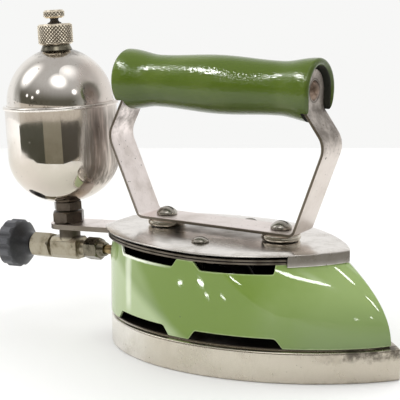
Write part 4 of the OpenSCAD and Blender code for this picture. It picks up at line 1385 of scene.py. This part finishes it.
@dataclass
class Handle:
    """The bent strap and the painted grip that it holds."""

    middle: float = -6.3
    strap_width: float = 22.2
    strap: float = 1.8
    strap_under: float = 71.7
    foot: float = 49.4
    elbow: float = 68.7
    elbow_height: float = 47.6
    skew: float = 2.1
    bend_radii: Place = (4.0, 12.0, 6.0)
    corner: float = 0.25
    tip_half: float = 0.5477
    grip_z: float = 149.9
    grip_length: float = 123.6
    grip_d: float = 32.4
    neck_d: float = 29.2
    end_d: float = 34.4
    neck_share: float = 0.31
    end_radius: float = 2.1
    recess: float = 5.8
    recess_half: float = 13.1
    recess_lip: float = 2.0

    def build(self, shop: Workshop) -> None:
        """Makes strap and grip and dresses the fasteners.

        Args:
            shop: takes the finished pieces.
        """
        shop.show(self._strap(), STRAP_NICKEL, "handle_strap")
        grip = self._grip()
        shop.show(grip, GRIP_PAINT, "handle_grip")
        # The recesses take near-black unpainted wood as painted shade.
        grip.data.materials.append(BARE_WOOD_AND_SHADE.material())
        self._darken_recesses(grip)
        shop.dress(RIVET_STEEL, 0.0, "handle_rod")
        shop.dress(SCREW_NICKEL, 0.2, "strap_screws", "strap_nuts", "body_bolts")
        shop.dress(SPACER_NICKEL, 1.5, "strap_spacers")

    def _path(self) -> list[Vector]:
        """Middle line of the strap.

        Returns:
            Its points from the strap's rear end to its front end.
        """
        z = self.strap_under + self.strap / 2
        end = self.grip_length / 2 - self.recess + self.strap / 2
        steps = 10
        path: list[Vector] = []
        for side in (-1.0, 1.0):
            corners = [
                Vector((self.skew, 0.0, z)),
                Vector((side * self.foot + self.skew, 0.0, z)),
                Vector((side * self.elbow + self.skew / 2, 0.0, z + self.elbow_height + side * self.skew)),
                Vector((side * end, 0.0, self.grip_z - self.neck_d / 3)),
                Vector((side * end, 0.0, self.grip_z)),
            ]
            run = rounded(corners, self.bend_radii)
            for i in range(1, steps + 1):
                lift = self.strap_width / 2 * math.sin(math.pi / 2 * i / steps)
                run.append(Vector((side * end, 0.0, self.grip_z + lift)))
            path = list(reversed(run)) if side < 0 else path + run[1:]
        return [point + Vector((self.middle, 0.0, 0.0)) for point in path]

    def _strap(self) -> bpy.types.Object:
        """Sweeps a flat bar with rounded edges and round ends along the strap's path.

        Returns:
            The strap.
        """
        path = self._path()
        flat, soft = 1.0 - self.corner, self.corner
        rings = []
        for i, point in enumerate(path):
            ahead = path[min(i + 1, len(path) - 1)] - path[max(i - 1, 0)]
            up = Vector((-ahead.z, 0.0, ahead.x)).normalized() * (self.strap / 2)
            above = max(0.0, point.z - self.grip_z)
            half = math.sqrt(max(self.tip_half**2, (self.strap_width / 2) ** 2 - above**2))
            side = [(half - soft, -1.0), (half, -flat), (half, flat), (half - soft, 1.0)]
            section = side + [(-y, -u) for y, u in side]
            rings.append([point + Vector((0.0, y, 0.0)) + up * u for y, u in section])
        maker = MeshMaker()
        maker.skin(rings)
        return maker.build("bent_strap", sharp=32.0)

    def _grip(self) -> bpy.types.Object:
        """Turns the grip and cuts the strap's recess into each end.

        Returns:
            The grip.
        """
        sharp = 40.0
        neck = (self.neck_d / 2, self.grip_length * self.neck_share)
        end = (self.end_d / 2, self.grip_length / 2 - self.end_radius)
        half = swell((self.grip_d / 2, 0.0), neck, 32)
        half += swell(neck, end, 24)[1:]
        half += arc((end[0] - self.end_radius, end[1]), self.end_radius, 0, 90, 14)[1:]
        profile = [(r, -h) for r, h in reversed(half[1:])] + half
        place = Matrix.Translation((self.middle, 0.0, self.grip_z)) @ Matrix.Rotation(math.pi / 2, 4, "Y")
        maker = MeshMaker()
        maker.lathe(profile, place, 128)
        piece = maker.build("turned_grip", sharp)
        for side in (-1.0, 1.0):
            carve(piece, self._recess_cutter(side))
        smooth(piece.data, sharp)
        return piece

    def _recess_cutter(self, side: float) -> bpy.types.Object:
        """A slot with a round top and a rounded mouth that is open below.

        Args:
            side: -1 for the grip's rear end and 1 for its front end.

        Returns:
            The mesh to cut away.
        """
        end, beyond = self.grip_length / 2, 10.0
        start = end - self.recess_lip
        mouth = self.recess_half + self.recess_lip
        lip = [(start + h, mouth - r) for r, h in arc((0.0, 0.0), self.recess_lip, 0, 90, 6)]
        rings = []
        for reach, half in [(end - self.recess, self.recess_half), *lip, (end + beyond, mouth)]:
            plan = arc((0.0, 0.0), half, 0, 180, 40) + [(-half, -self.grip_d), (half, -self.grip_d)]
            rings.append([Vector((self.middle + side * reach, y, self.grip_z + z)) for y, z in plan])
        maker = MeshMaker()
        maker.skin(rings)
        return maker.build("recess_cutter")

    def _darken_recesses(self, piece: bpy.types.Object) -> None:
        """Gives the walls and floors of the recesses the second finish: near-black unpainted wood as painted
        shade.

        Args:
            piece: the grip.
        """
        near = 0.1
        floor = self.grip_length / 2 - self.recess - near
        wall = self.recess_half + 3 * near
        for face in piece.data.polygons:
            x, y, z = face.center / MM
            if abs(x - self.middle) > floor and math.hypot(y, max(z - self.grip_z, 0.0)) < wall:
                face.material_index = 1


def swell(first: tuple[float, float], last: tuple[float, float], steps: int) -> Plan:
    """A smooth wave of (radius, height) points.

    Args:
        first: where it starts.
        last: where it ends.
        steps: number of steps.

    Returns:
        The points from first to last, level at both ends.
    """
    run = []
    for i in range(steps + 1):
        share = i / steps
        ease = 0.5 - 0.5 * math.cos(math.pi * share)
        run.append((first[0] + (last[0] - first[0]) * ease, first[1] + (last[1] - first[1]) * share))
    return run


def rounded(corners: Sequence[Vector], radii: Sequence[float]) -> list[Vector]:
    """A path in the XZ plane with its inner corners rounded.

    Args:
        corners: the corners in order.
        radii: the radius at each inner corner.

    Returns:
        The points of the rounded path.
    """
    steps = 16
    path = [corners[0]]
    for before, corner, after, radius in zip(corners, corners[1:], corners[2:], radii):
        u = (before - corner).normalized()
        v = (after - corner).normalized()
        half = u.angle(v) / 2
        centre = corner + (u + v).normalized() * (radius / math.sin(half))
        start = (corner + u * (radius / math.tan(half)) - centre).normalized()
        finish = (corner + v * (radius / math.tan(half)) - centre).normalized()
        path += [centre + start.slerp(finish, i / steps) * radius for i in range(steps + 1)]
    path.append(corners[-1])
    return path


@dataclass
class RearFrame:
    """The leaning frame of the bracket, the tank and the valve."""

    bend_x: float = -58.0
    under: float = 61.3
    tilt: float = 3.7
    tank_x: float = -54.1

    def tank(self) -> Matrix:
        """Local axes of the tank: Z runs up its middle from the bracket's underside."""
        lean = Matrix.Rotation(math.radians(-self.tilt), 4, "Y") @ Matrix.Translation((self.tank_x, 0.0, 0.0))
        return Matrix.Translation((self.bend_x, 0.0, self.under)) @ lean


@dataclass
class Tank:
    """The polished pressure tank with its filler cap and air screw."""

    bottom: float = 15.2
    bowl_r: float = 33.4
    bowl_round: float = 28.5
    hole_r: float = 7.2
    hole_depth: float = 3.0
    seam: float = 74.2
    rim: float = 1.1
    bead: float = 1.2
    lip: float = 0.25
    play: float = 0.06
    dome_r: float = 31.9
    dome_h: float = 32.5
    dome_hole_r: float = 7.6
    cap_z: float = 109.9
    cap_r: float = 10.35
    cap_h: float = 12.1
    cap_bore_r: float = 7.9
    cap_roof: float = 3.0
    chamfer: float = 1.0
    shoulder: float = 0.3
    crown: float = 0.15
    head_z: float = 125.4
    head_r: float = 6.3
    head_h: float = 4.7
    stem_r: float = 2.2
    stem_play: float = 0.15
    tip_z: float = 113.4
    tip_length: float = 4.0
    seal_r: float = 4.1
    knurl: float = 0.5
    knurl_pitch: float = 2.2
    knurl_facets: int = 6

    def build(self, shop: Workshop, rear: RearFrame) -> None:
        """Makes the shell, the cap and the air screw and dresses what holds them.

        Args:
            shop: takes the finished pieces.
            rear: gives the tank's place.
        """
        place = rear.tank()
        for name, profile, node in (
            ("tank_shell_bowl", self._bowl(), "tank_bowl"),
            ("tank_shell_dome", self._dome(), "tank_dome"),
        ):
            maker = MeshMaker()
            maker.lathe(profile, place, 160)
            shop.show(maker.build(name, sharp=40.0), TANK_NICKEL, node)
        shop.show(self._cap(place), KNURL_NICKEL, "filler_cap", Body.CAP)
        shop.show(self._air_screw(place), KNURL_NICKEL, "air_screw", Body.AIR_SCREW)
        # The filler neck is dark brass as painted shade under the cap.
        shop.dress(UNION_BRASS, 0.2, "filler_neck")
        shop.dress(SEAL_BLACK, 0.0, "filler_gasket")
        shop.show(self._seal(place), SEAL_BLACK, "air_screw_seal", Body.AIR_SEAL)
        shop.dress(NUT_BRASS, 0.25, "tank_boss", "lock_nut")
        shop.dress(STRAP_NICKEL, 0.3, "tank_bracket")

    def _bowl(self) -> Plan:
        """Profile of the bowl.

        Returns:
            Its points from the inside of its hole over the rim to its inside.
        """
        middle = self.bottom + self.bowl_round
        top = self.seam + self.bead
        inside = self.dome_r + self.play
        steps = 10
        profile = [(self.hole_r, self.bottom + self.hole_depth)]
        profile += [(r, middle - h) for r, h in self._quarter(self.bowl_r, self.bowl_round, self.hole_r)]
        for i in range(1, steps + 1):
            profile.append((self.bowl_r, middle + (self.seam - self.bead - middle) * i / steps))
        profile += arc((self.bowl_r + self.rim - self.bead, self.seam), self.bead, -80, 90, 14)
        profile += [(self.dome_r + self.lip, top - 0.05), (inside, top - 0.4)]
        return profile + [(inside, self.seam - self.bead)]

    def _dome(self) -> Plan:
        """Profile of the dome.

        Returns:
            Its points from its foot inside the rim up to the filler hole.
        """
        base = self.seam + self.bead
        outer = self._quarter(self.dome_r, self.dome_h, self.dome_hole_r)
        return [(self.dome_r, self.seam - self.bead)] + [(r, base + h) for r, h in reversed(outer)]

    @staticmethod
    def _quarter(radius: float, height: float, start: float) -> Plan:
        """Quarter of an ellipse.

        Args:
            radius: its radius at the equator.
            height: its height at the pole.
            start: radius near the pole at which it starts.

        Returns:
            Its points out to the equator.
        """
        steps = 40
        first = math.asin(start / radius)
        angles = [first + (math.pi / 2 - first) * i / steps for i in range(steps + 1)]
        return [(radius * math.sin(a), height * math.cos(a)) for a in angles]

    def _knurled(self, place: Matrix, radius: float, low: float, high: float) -> list[Ring]:
        """Rings of a diamond knurl between two heights.

        Args:
            place: the local axes.
            radius: radius over the knurl's peaks.
            low: lower end.
            high: upper end.

        Returns:
            The rings from low to high.
        """
        count = round(2 * math.pi * radius / self.knurl_pitch)
        pitch = 2 * math.pi * radius / count
        rows = max(8, round((high - low) / pitch * self.knurl_facets))
        rings = []
        for k in range(rows + 1):
            height = low + (high - low) * k / rows
            climb = (height - low) / pitch
            ring = []
            for a in turns(count * self.knurl_facets):
                turn = a * count / (2 * math.pi)
                r = radius - self.knurl * (1.0 - min(self._saw(turn + climb), self._saw(turn - climb)))
                ring.append(place @ Vector((r * math.cos(a), r * math.sin(a), height)))
            rings.append(ring)
        return rings

    @staticmethod
    def _saw(turn: float) -> float:
        """Height between two grooves: 0 in a groove and 1 on the flat between them."""
        steep = 1.3
        return min(1.0, steep * abs(2.0 * (turn - math.floor(turn)) - 1.0))

    def _turned_head(
        self, name: str, place: Matrix, radius: float, low: float, high: float, inner: Plan
    ) -> bpy.types.Object:
        """A knurled head with smooth chamfered ends, whose grooves are noted for the finish.

        Args:
            name: the piece's name.
            place: the local axes.
            radius: radius of the head.
            low: its lower end.
            high: its upper end.
            inner: points that lead to its lower edge from the inside.

        Returns:
            The piece.
        """
        first, last = low + self.chamfer, high - self.chamfer
        knurled = self._knurled(place, radius, first, last)
        end, shoulder = radius - self.chamfer, radius - self.shoulder
        rise = self.chamfer * 0.8
        below = [*inner, (end, low), (shoulder, low + rise)]
        above = [(shoulder, high - rise), (end, high), (radius * 0.5, high + self.crown)]
        plain = [[circle(place, r, h, len(knurled[0])) for r, h in side] for side in (below, above)]
        maker = MeshMaker()
        maker.skin(plain[0] + knurled + plain[1])
        inverse = place.inverted()
        for point in maker.points:
            x, y, z = inverse @ point
            sunk = min(1.0, max(0.0, (radius - math.hypot(x, y)) / self.knurl))
            maker.rim.append(sunk if first <= z <= last else 0.0)
        return maker.build(name, sharp=30.0)

    def _cap(self, place: Matrix) -> bpy.types.Object:
        """The filler cap, open below.

        Args:
            place: the tank's axes.

        Returns:
            The cap.
        """
        top = self.cap_z + self.cap_h
        roof = top - self.cap_roof
        inner = [(self.stem_r + self.stem_play, roof), (self.cap_bore_r, roof), (self.cap_bore_r, self.cap_z)]
        return self._turned_head("knurled_cap", place, self.cap_r, self.cap_z, top, inner)

    def _seal(self, place: Matrix) -> bpy.types.Object:
        """The waisted seal between the cap and the air screw's head.

        Args:
            place: the tank's axes.

        Returns:
            The seal.
        """
        foot, bore = self.cap_z + self.cap_h, self.stem_r + self.stem_play
        rise = self.head_z - foot
        profile = [(bore, foot), (self.seal_r, foot), (self.seal_r, foot + rise * 0.18)]
        profile += arc((self.seal_r, foot + rise * 0.72), rise * 0.5, 255, 180, 8)
        profile += [(bore + 0.4, self.head_z), (bore, self.head_z), (bore, foot)]
        maker = MeshMaker()
        maker.lathe(profile, place, 48, caps=False)
        return maker.build("air_seal", sharp=30.0)

    def _air_screw(self, place: Matrix) -> bpy.types.Object:
        """The air screw with its knurled head, stem and pointed tip.

        Args:
            place: the tank's axes.

        Returns:
            The screw.
        """
        inner = [(self.stem_r / 3, self.tip_z), (self.stem_r, self.tip_z + self.tip_length)]
        inner.append((self.stem_r, self.head_z))
        top = self.head_z + self.head_h
        return self._turned_head("knurled_air_screw", place, self.head_r, self.head_z, top, inner)


@dataclass
class Valve:
    """The needle valve with its knob, nuts and generator tube."""

    rounding: float = 0.35

    def dress(self, shop: Workshop) -> None:
        """Gives the valve's pieces their finishes.

        Args:
            shop: dresses the CAD nodes.
        """
        shop.dress(VALVE_BRASS, self.rounding, "valve_body", "packing_nut")
        shop.dress(UNION_BRASS, self.rounding, "union_nut")
        shop.dress(BARE_BRASS, 0.0, "valve_needle", "valve_stem", "tube_ferrule", "generator_tube", "gas_tip")
        shop.dress(SEAL_BLACK, 0.0, "stem_packing")
        shop.dress(KNOB_BLACK, 0.5, "valve_knob")
        shop.dress(SCREW_NICKEL, 0.15, "knob_screw")


@dataclass
class Burner:
    """The burner inside the housing."""

    rounding: float = 0.3

    def dress(self, shop: Workshop) -> None:
        """Gives the burner's pieces their finishes.

        Args:
            shop: dresses the CAD nodes.
        """
        shop.dress(BURNER_IRON, self.rounding, "burner")
        shop.dress(BURNER_IRON, 0.0, "mixing_elbow")
        shop.dress(SCREW_NICKEL, self.rounding / 2, "burner_screws")


class Glow:
    """The light that a stage card gives off."""

    def light(self, shader: Shader) -> None:
        """Feeds the colour and the strength of the light."""
        raise NotImplementedError

    def material(self, name: str) -> bpy.types.Material:
        """A material that only glows.

        Args:
            name: the material's name.

        Returns:
            The new material.
        """
        shader = Shader(name)
        shader.set(Base_Color=BLACK, Specular_IOR_Level=0.0, Emission_Strength=1.0)
        self.light(shader)
        return shader.material


@dataclass(frozen=True)
class EvenGlow(Glow):
    """The same light all over.

    Attributes:
        colour: the light's colour.
    """

    colour: Colour

    def light(self, shader: Shader) -> None:
        """Sets the one colour."""
        shader.set(Emission_Color=self.colour)


@dataclass(frozen=True)
class SoftGlow(Glow):
    """White light that fades from a lamp's middle to its edge.

    Attributes:
        centre: the lamp's middle in millimetres.
        radius: its radius in millimetres.
        strength: its brightness in the middle.
    """

    centre: Place
    radius: float
    strength: float

    def light(self, shader: Shader) -> None:
        """Lets the lamp show less with the distance from its middle."""
        near = 1.0 - shader.vector("DISTANCE", shader.here, self.centre).rise(0.0, self.radius)
        shader.set(Emission_Color=WHITE, Emission_Strength=self.strength, Alpha=near * near)


@dataclass(frozen=True)
class RoomGlow(Glow):
    """The light of the room: dim towards the camera, white behind the object, paler towards the ceiling.

    Attributes:
        front: direction from the object to the camera, level with the floor.
        right: direction to the camera's right.
        radius: distance of the wall in millimetres.
        sill: colour of the pale strip along the wall's foot.
        wall: colour of the dim wall.
        side: colour of the wall far to the camera's right.
        ceiling: colour of the ceiling.
        back: colour of the backdrop.
        sill_top: top of the pale strip as a share of the radius.
    """

    front: Place
    right: Place
    radius: float
    sill: Colour = (0.57, 0.52, 0.45)
    wall: Colour = (0.105, 0.10, 0.078)
    side: Colour = (0.42, 0.42, 0.40)
    ceiling: Colour = (0.52, 0.51, 0.50)
    back: Colour = (0.94, 0.94, 0.93)
    sill_top: float = 0.17

    def light(self, shader: Shader) -> None:
        """Blends the room's colours by direction and height.

        Args:
            shader: takes the light.
        """
        place = shader.place((1.0 / self.radius,) * 3)
        ahead = shader.vector("DOT_PRODUCT", place, self.front)
        beside = shader.vector("DOT_PRODUCT", place, self.right)
        height = shader.part(place, 2)
        dim = shader.blend(beside.rise(0.35, 0.90), self.wall, self.side)
        dim = shader.blend(height.rise(0.30, 0.80), dim, self.ceiling)
        dim = shader.blend(height.rise(self.sill_top - 0.005, self.sill_top + 0.005), self.sill, dim)
        streaks = (shader.noise(3.0, 2.0, stretch=(0.02, 0.02, 0.002)) - 0.5) * 0.5
        near = (ahead + height * 0.6 + streaks * (1.0 - height)).rise(-0.40, 0.25)
        shader.set(Emission_Color=shader.blend(near, self.back, dim))


def show_card(maker: MeshMaker, name: str, glow: Glow) -> None:
    """Stages a mesh that only shiny surfaces see.

    Args:
        maker: holds the card's mesh.
        name: the card's name.
        glow: the light it gives off.
    """
    card = maker.build(name)
    card.data.materials.append(glow.material(name))
    card.visible_camera = False
    card.visible_diffuse = False
    card.visible_shadow = False
    card.visible_transmission = False


def stand(name: str, data: bpy.types.ID, middle: Vector, axes: Matrix) -> bpy.types.Object:
    """Puts a camera or a lamp in the scene.

    Args:
        name: its name.
        data: its settings.
        middle: where it stands, in millimetres.
        axes: the rotation of its own axes.

    Returns:
        The new object.
    """
    made = bpy.data.objects.new(name, data)
    made.matrix_world = Matrix.Translation(middle * MM) @ axes.to_4x4()
    bpy.context.scene.collection.objects.link(made)
    return made


@dataclass(frozen=True)
class Lamp:
    """A round lamp in the room, seen only as a reflection.

    Attributes:
        name: the lamp's name.
        spot: its middle.
        radius: its radius.
        strength: its brightness in the middle.
        facing: the place it faces, on the tank's dome.
    """

    name: str
    spot: Place
    radius: float
    strength: float
    facing: Place = (-105.0, -20.0, 150.0)

    def build(self) -> None:
        """Makes a soft disc that faces the given place."""
        ahead = Vector(self.facing) - Vector(self.spot)
        axes = ahead.to_track_quat("Z", "Y").to_matrix().to_4x4()
        maker = MeshMaker()
        maker.face(circle(Matrix.Translation(self.spot) @ axes, self.radius, 0.0, 24))
        show_card(maker, self.name, SoftGlow(self.spot, self.radius, self.strength))


@dataclass(frozen=True)
class Glint:
    """A small lamp that shows as a highlight on one piece only.

    Attributes:
        name: the lamp's name.
        start: one end of the lamp.
        end: its other end.
        width: its width.
        strength: its brightness.
        facing: the place it faces.
    """

    name: str
    start: Place
    end: Place
    width: float
    strength: float
    facing: Place

    def build(self, piece: bpy.types.Object) -> None:
        """Makes the lamp.

        Args:
            piece: the only piece that it lights.
        """
        first, last = Vector(self.start), Vector(self.end)
        middle = (first + last) / 2
        back = (middle - Vector(self.facing)).normalized()
        along = last - first
        data = bpy.data.lights.new(self.name, "AREA")
        data.shape = "ELLIPSE"
        data.size = (along.length + self.width) * MM
        data.size_y = self.width * MM
        data.energy = self.strength * math.pi * (math.pi / 4 * data.size * data.size_y)
        data.diffuse_factor = 0.0
        along = (along - back * along.dot(back)).normalized()
        lamp = stand(self.name, data, middle, Matrix((along, back.cross(along), back)).transposed())
        lit = bpy.data.collections.new(self.name + " lit")
        lit.objects.link(piece)
        lamp.light_linking.receiver_collection = lit


@dataclass(frozen=True)
class SoftBox:
    """A large square lamp that shiny surfaces don't show.

    Attributes:
        name: the lamp's name.
        spot: its middle.
        size: its side.
        power: its power in watts.
    """

    name: str
    spot: Place
    size: float
    power: float

    def build(self, target: Vector) -> None:
        """Makes the lamp.

        Args:
            target: the place it faces.
        """
        data = bpy.data.lights.new(self.name, "AREA")
        data.size = self.size * MM
        data.energy = self.power
        axes = (target - Vector(self.spot)).to_track_quat("-Z", "Y").to_matrix()
        stand(self.name, data, Vector(self.spot), axes).visible_glossy = False


NOSE: Place = (70.0, -20.0, 52.0)
SIDE: Place = (10.0, -45.0, 48.0)
GRIP: Place = (0.0, -13.0, 158.0)
LAMPS = (
    Lamp("window", (95.0, -40.0, 712.0), 400.0, 1.4),
    Lamp("big_lamp", (75.0, -340.0, 610.0), 270.0, 2.6),
    Lamp("big_lamp_side", (160.0, -330.0, 600.0), 250.0, 2.2),
    Lamp("left_lamp", (-452.0, -197.0, 427.0), 230.0, 2.8),
    Lamp("left_lamp_high", (-400.0, -150.0, 500.0), 230.0, 2.0),
    Lamp("low_left_lamp", (-251.0, -560.0, 384.0), 75.0, 3.0),
    Lamp("small_lamp_a", (-489.0, -482.0, 275.0), 48.0, 3.0),
    Lamp("small_lamp_b", (-363.0, -562.0, 263.0), 48.0, 3.0),
    Lamp("low_right_lamp", (419.0, -193.0, 403.0), 95.0, 4.0),
    Lamp("right_lamp", (339.0, 271.0, 462.0), 85.0, 3.5),
)
HOUSING_GLINTS = (
    Glint("nose streak", (130.0, -130.0, 134.0), (176.0, -60.0, 148.0), 9.0, 26.0, NOSE),
    Glint("ridge streak high", (154.0, 17.0, 180.0), (181.0, 6.0, 161.0), 8.0, 24.0, NOSE),
    Glint("ridge streak low", (206.0, -3.5, 134.0), (227.0, 2.4, 101.5), 8.0, 24.0, NOSE),
    Glint("tip glint near", (212.5, -85.0, 67.0), (212.5, -81.0, 67.0), 5.0, 14.0, NOSE),
    Glint("tip glint far", (228.0, -48.0, 77.0), (228.0, -44.0, 77.0), 5.0, 14.0, NOSE),
    Glint("pane a", (-53.0, -200.5, 8.5), (-42.0, -203.2, 8.5), 4.6, 45.0, SIDE),
    Glint("pane b", (40.0, -210.0, 45.0), (58.0, -209.0, 45.0), 2.4, 45.0, SIDE),
    Glint("pane c", (-102.0, -176.5, 4.0), (-94.0, -181.5, 4.0), 1.7, 36.0, SIDE),
    Glint("pane d", (-33.0, -184.0, 6.0), (-25.0, -185.0, 6.0), 1.6, 36.0, SIDE),
    Glint("pane e", (0.0, -209.0, 9.0), (8.0, -209.0, 9.0), 1.6, 36.0, SIDE),
)
GRIP_GLINTS = (
    Glint("grip streak back", (-461.0, -66.0, 545.0), (-433.0, -109.0, 545.0), 34.0, 60.0, GRIP),
    Glint("grip streak high", (-419.0, -133.0, 655.0), (-367.0, -214.0, 655.0), 30.0, 80.0, GRIP),
    Glint("grip streak middle", (-372.0, -206.0, 598.0), (-278.0, -352.0, 598.0), 34.0, 90.0, GRIP),
    Glint("grip streak end", (-99.0, -416.0, 582.0), (80.0, -478.0, 535.0), 26.0, 60.0, GRIP),
    Glint("grip streak low", (-250.0, -420.0, 505.0), (-205.0, -450.0, 505.0), 22.0, 25.0, GRIP),
)
SOFT_BOXES = (
    SoftBox("top box", (0.0, 150.0, 1200.0), 1000.0, 4.5),
    SoftBox("left box", (-1000.0, -450.0, 650.0), 900.0, 5.0),
    SoftBox("back box", (350.0, 900.0, 900.0), 900.0, 5.0),
    SoftBox("front box", (-100.0, -1100.0, 850.0), 1000.0, 6.2),
)


@dataclass
class Room:
    """The room that shiny surfaces reflect: a dim wall and ceiling, a dark table front and lamps.

    Azimuths are counted in degrees from the camera's direction, to the camera's right. The corners of
    the table front each give an azimuth, a lower edge and an upper edge.
    """

    camera_azimuth: float
    centre: tuple[float, float] = (-19.0, 0.0)
    radius: float = 760.0
    wall_foot: float = 2.0
    front_centre: tuple[float, float] = (-105.0, 0.0)
    front_radius: float = 545.0
    left: Place = (-88.0, 19.0, 45.0)
    left_bend: Place = (-58.0, 20.0, 62.0)
    post: Place = (-32.0, 6.0, 78.0)
    end: Place = (3.7, 5.0, 98.0)
    right_bend: Place = (17.5, 51.0, 103.0)
    right: Place = (38.0, 71.0, 110.0)
    corner: Place = (60.0, 76.0, 112.0)

    def build(self) -> None:
        """Makes the wall, the ceiling, the table front and the lamps."""
        self._wall()
        self._front("table_front", (self.left, self.left_bend, self.post), (0.085, 0.085, 0.066))
        self._front("table_post", (self.post, self.end), (0.25, 0.23, 0.175))
        far_end = (self.end, self.right_bend, self.right, self.corner)
        self._front("table_end", far_end, (0.080, 0.073, 0.060))
        for lamp in LAMPS:
            lamp.build()

    def _spot(self, centre: tuple[float, float], azimuth: float, radius: float, height: float) -> Vector:
        """A place at a distance and a height in a direction from the camera's."""
        a = math.radians(self.camera_azimuth - 90.0 + azimuth)
        return Vector((centre[0] + radius * math.cos(a), centre[1] + radius * math.sin(a), height))

    def _wall(self) -> None:
        """Makes a half sphere round the object."""
        bands, columns = 24, 48
        rings = []
        for i in range(bands + 1):
            band = math.radians(self.wall_foot + (90.0 - self.wall_foot) * i / bands)
            reach, height = self.radius * math.cos(band), self.radius * math.sin(band)
            azimuths = [360.0 * k / columns for k in range(columns)]
            rings.append([self._spot(self.centre, azimuth, reach, height) for azimuth in azimuths])
        maker = MeshMaker()
        maker.skin(rings, caps=False)
        front, right = (tuple(self._spot((0.0, 0.0), azimuth, 1.0, 0.0)) for azimuth in (0.0, 90.0))
        show_card(maker, "room_wall", RoomGlow(front, right, self.radius))

    def _front(self, name: str, corners: Sequence[Place], colour: Colour) -> None:
        """Makes a strip of the table front.

        Args:
            name: the strip's name.
            corners: azimuth, lower edge and upper edge of each corner.
            colour: the strip's colour.
        """
        steps = 12
        rings: list[Ring] = [[], []]
        for first, last in zip(corners, corners[1:]):
            for i in range(steps + 1):
                azimuth, *edges = (a + (b - a) * i / steps for a, b in zip(first, last))
                for ring, height in zip(rings, edges):
                    ring.append(self._spot(self.front_centre, azimuth, self.front_radius, height))
        maker = MeshMaker()
        maker.skin(rings, caps=False, loop=False)
        show_card(maker, name, EvenGlow(colour))


@dataclass
class Studio:
    """Floor, light and camera."""

    azimuth: float = 31.5006
    elevation: float = 11.4060
    distance: float = 689.446
    target: Place = (-19.0, 0.0, 83.865)
    lens: float = 109.91
    sensor: float = 36.0
    near_clip: float = 20.0
    floor_back: float = 719.0
    floor_side: float = 2600.0
    floor_white: Colour = (0.90, 0.90, 0.89)
    floor_grey: Colour = (0.87, 0.87, 0.86)
    wall_white: Colour = (0.930, 0.930, 0.922)
    sky: float = 0.74

    def build(self) -> None:
        """Makes the stage, its lights and the camera."""
        scene = bpy.context.scene
        scene.view_settings.view_transform = "Standard"
        self._camera(scene)
        self._floor()
        self._world(scene)
        for box in SOFT_BOXES:
            box.build(Vector(self.target))
        Room(self.azimuth).build()
        for glint in HOUSING_GLINTS:
            glint.build(bpy.data.objects["burner_housing"])
        for glint in GRIP_GLINTS:
            glint.build(bpy.data.objects["turned_grip"])

    def axes(self) -> tuple[Vector, Vector, Vector]:
        """Directions of the camera.

        Returns:
            Its right, its up and its back direction.
        """
        a, e = math.radians(self.azimuth), math.radians(self.elevation)
        back = Vector((math.sin(a) * math.cos(e), -math.cos(a) * math.cos(e), math.sin(e)))
        right = Vector((math.cos(a), math.sin(a), 0.0))
        return right, back.cross(right), back

    def _camera(self, scene: bpy.types.Scene) -> None:
        """Sets the camera at the photograph's viewing angle.

        Args:
            scene: takes the camera.
        """
        data = bpy.data.cameras.new("camera")
        data.lens = self.lens
        data.sensor_width = self.sensor
        data.clip_start = self.near_clip * MM
        right, up, back = self.axes()
        spot = Vector(self.target) + back * self.distance
        scene.camera = stand("camera", data, spot, Matrix((right, up, back)).transposed())

    def _floor(self) -> None:
        """Makes a pale table whose far edge lies behind the object."""
        right, _, back = self.axes()
        ahead = Vector((back.x, back.y, 0.0)).normalized()
        base = Vector((self.target[0], self.target[1], 0.0))
        far, near, side = -self.floor_back, self.floor_side, self.floor_side
        plan = ((far, -side), (far, side), (near, side), (near, -side))
        maker = MeshMaker()
        maker.face([base + ahead * along + right * across for along, across in plan])
        floor = maker.build("pale_table")
        shader = Shader("pale table")
        clouds = shader.noise(160.0, 2.0) * 0.3
        shader.set(Base_Color=shader.blend(clouds, self.floor_white, self.floor_grey), Roughness=0.6)
        floor.data.materials.append(shader.material)

    def _world(self, scene: bpy.types.Scene) -> None:
        """Makes a plain sky that the camera and shiny metal see as a pale wall.

        Args:
            scene: takes the sky.
        """
        scene.world = bpy.data.worlds.new("studio")
        scene.world.use_nodes = True
        nodes = Nodes(scene.world.node_tree)
        seen = nodes.node("ShaderNodeLightPath", output="Is Camera Ray")
        for kind in ("Glossy", "Transmission"):
            seen = seen.larger(nodes.node("ShaderNodeLightPath", output=f"Is {kind} Ray"))
        sky = nodes.node("ShaderNodeBackground", sockets={"Strength": self.sky})
        wall = nodes.node("ShaderNodeBackground", sockets={"Color": self.wall_white})
        mixed = nodes.node("ShaderNodeMixShader", sockets={0: seen, 1: sky, 2: wall})
        nodes.end("ShaderNodeOutputWorld", mixed)


def main() -> None:
    """Builds the sub-assemblies in order, then the stage."""
    logging.basicConfig(level=logging.INFO, format="%(name)s: %(message)s")
    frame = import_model()
    shop = Workshop(frame)
    housing = Housing()
    Sole().build(shop, housing)
    lower = Vents(web_x=-4.8, web=13.0, rear_length=41.5, front_length=51.0, height=5.2)
    upper = Vents(web_x=-0.5, web=10.0, rear_length=46.0, front_length=42.0, height=4.8)
    housing.build(shop, lower, upper)
    Cover().build(shop)
    Handle().build(shop)
    Tank().build(shop, RearFrame())
    Valve().dress(shop)
    Burner().dress(shop)
    Studio().build()


if __name__ == "__main__":
    main()
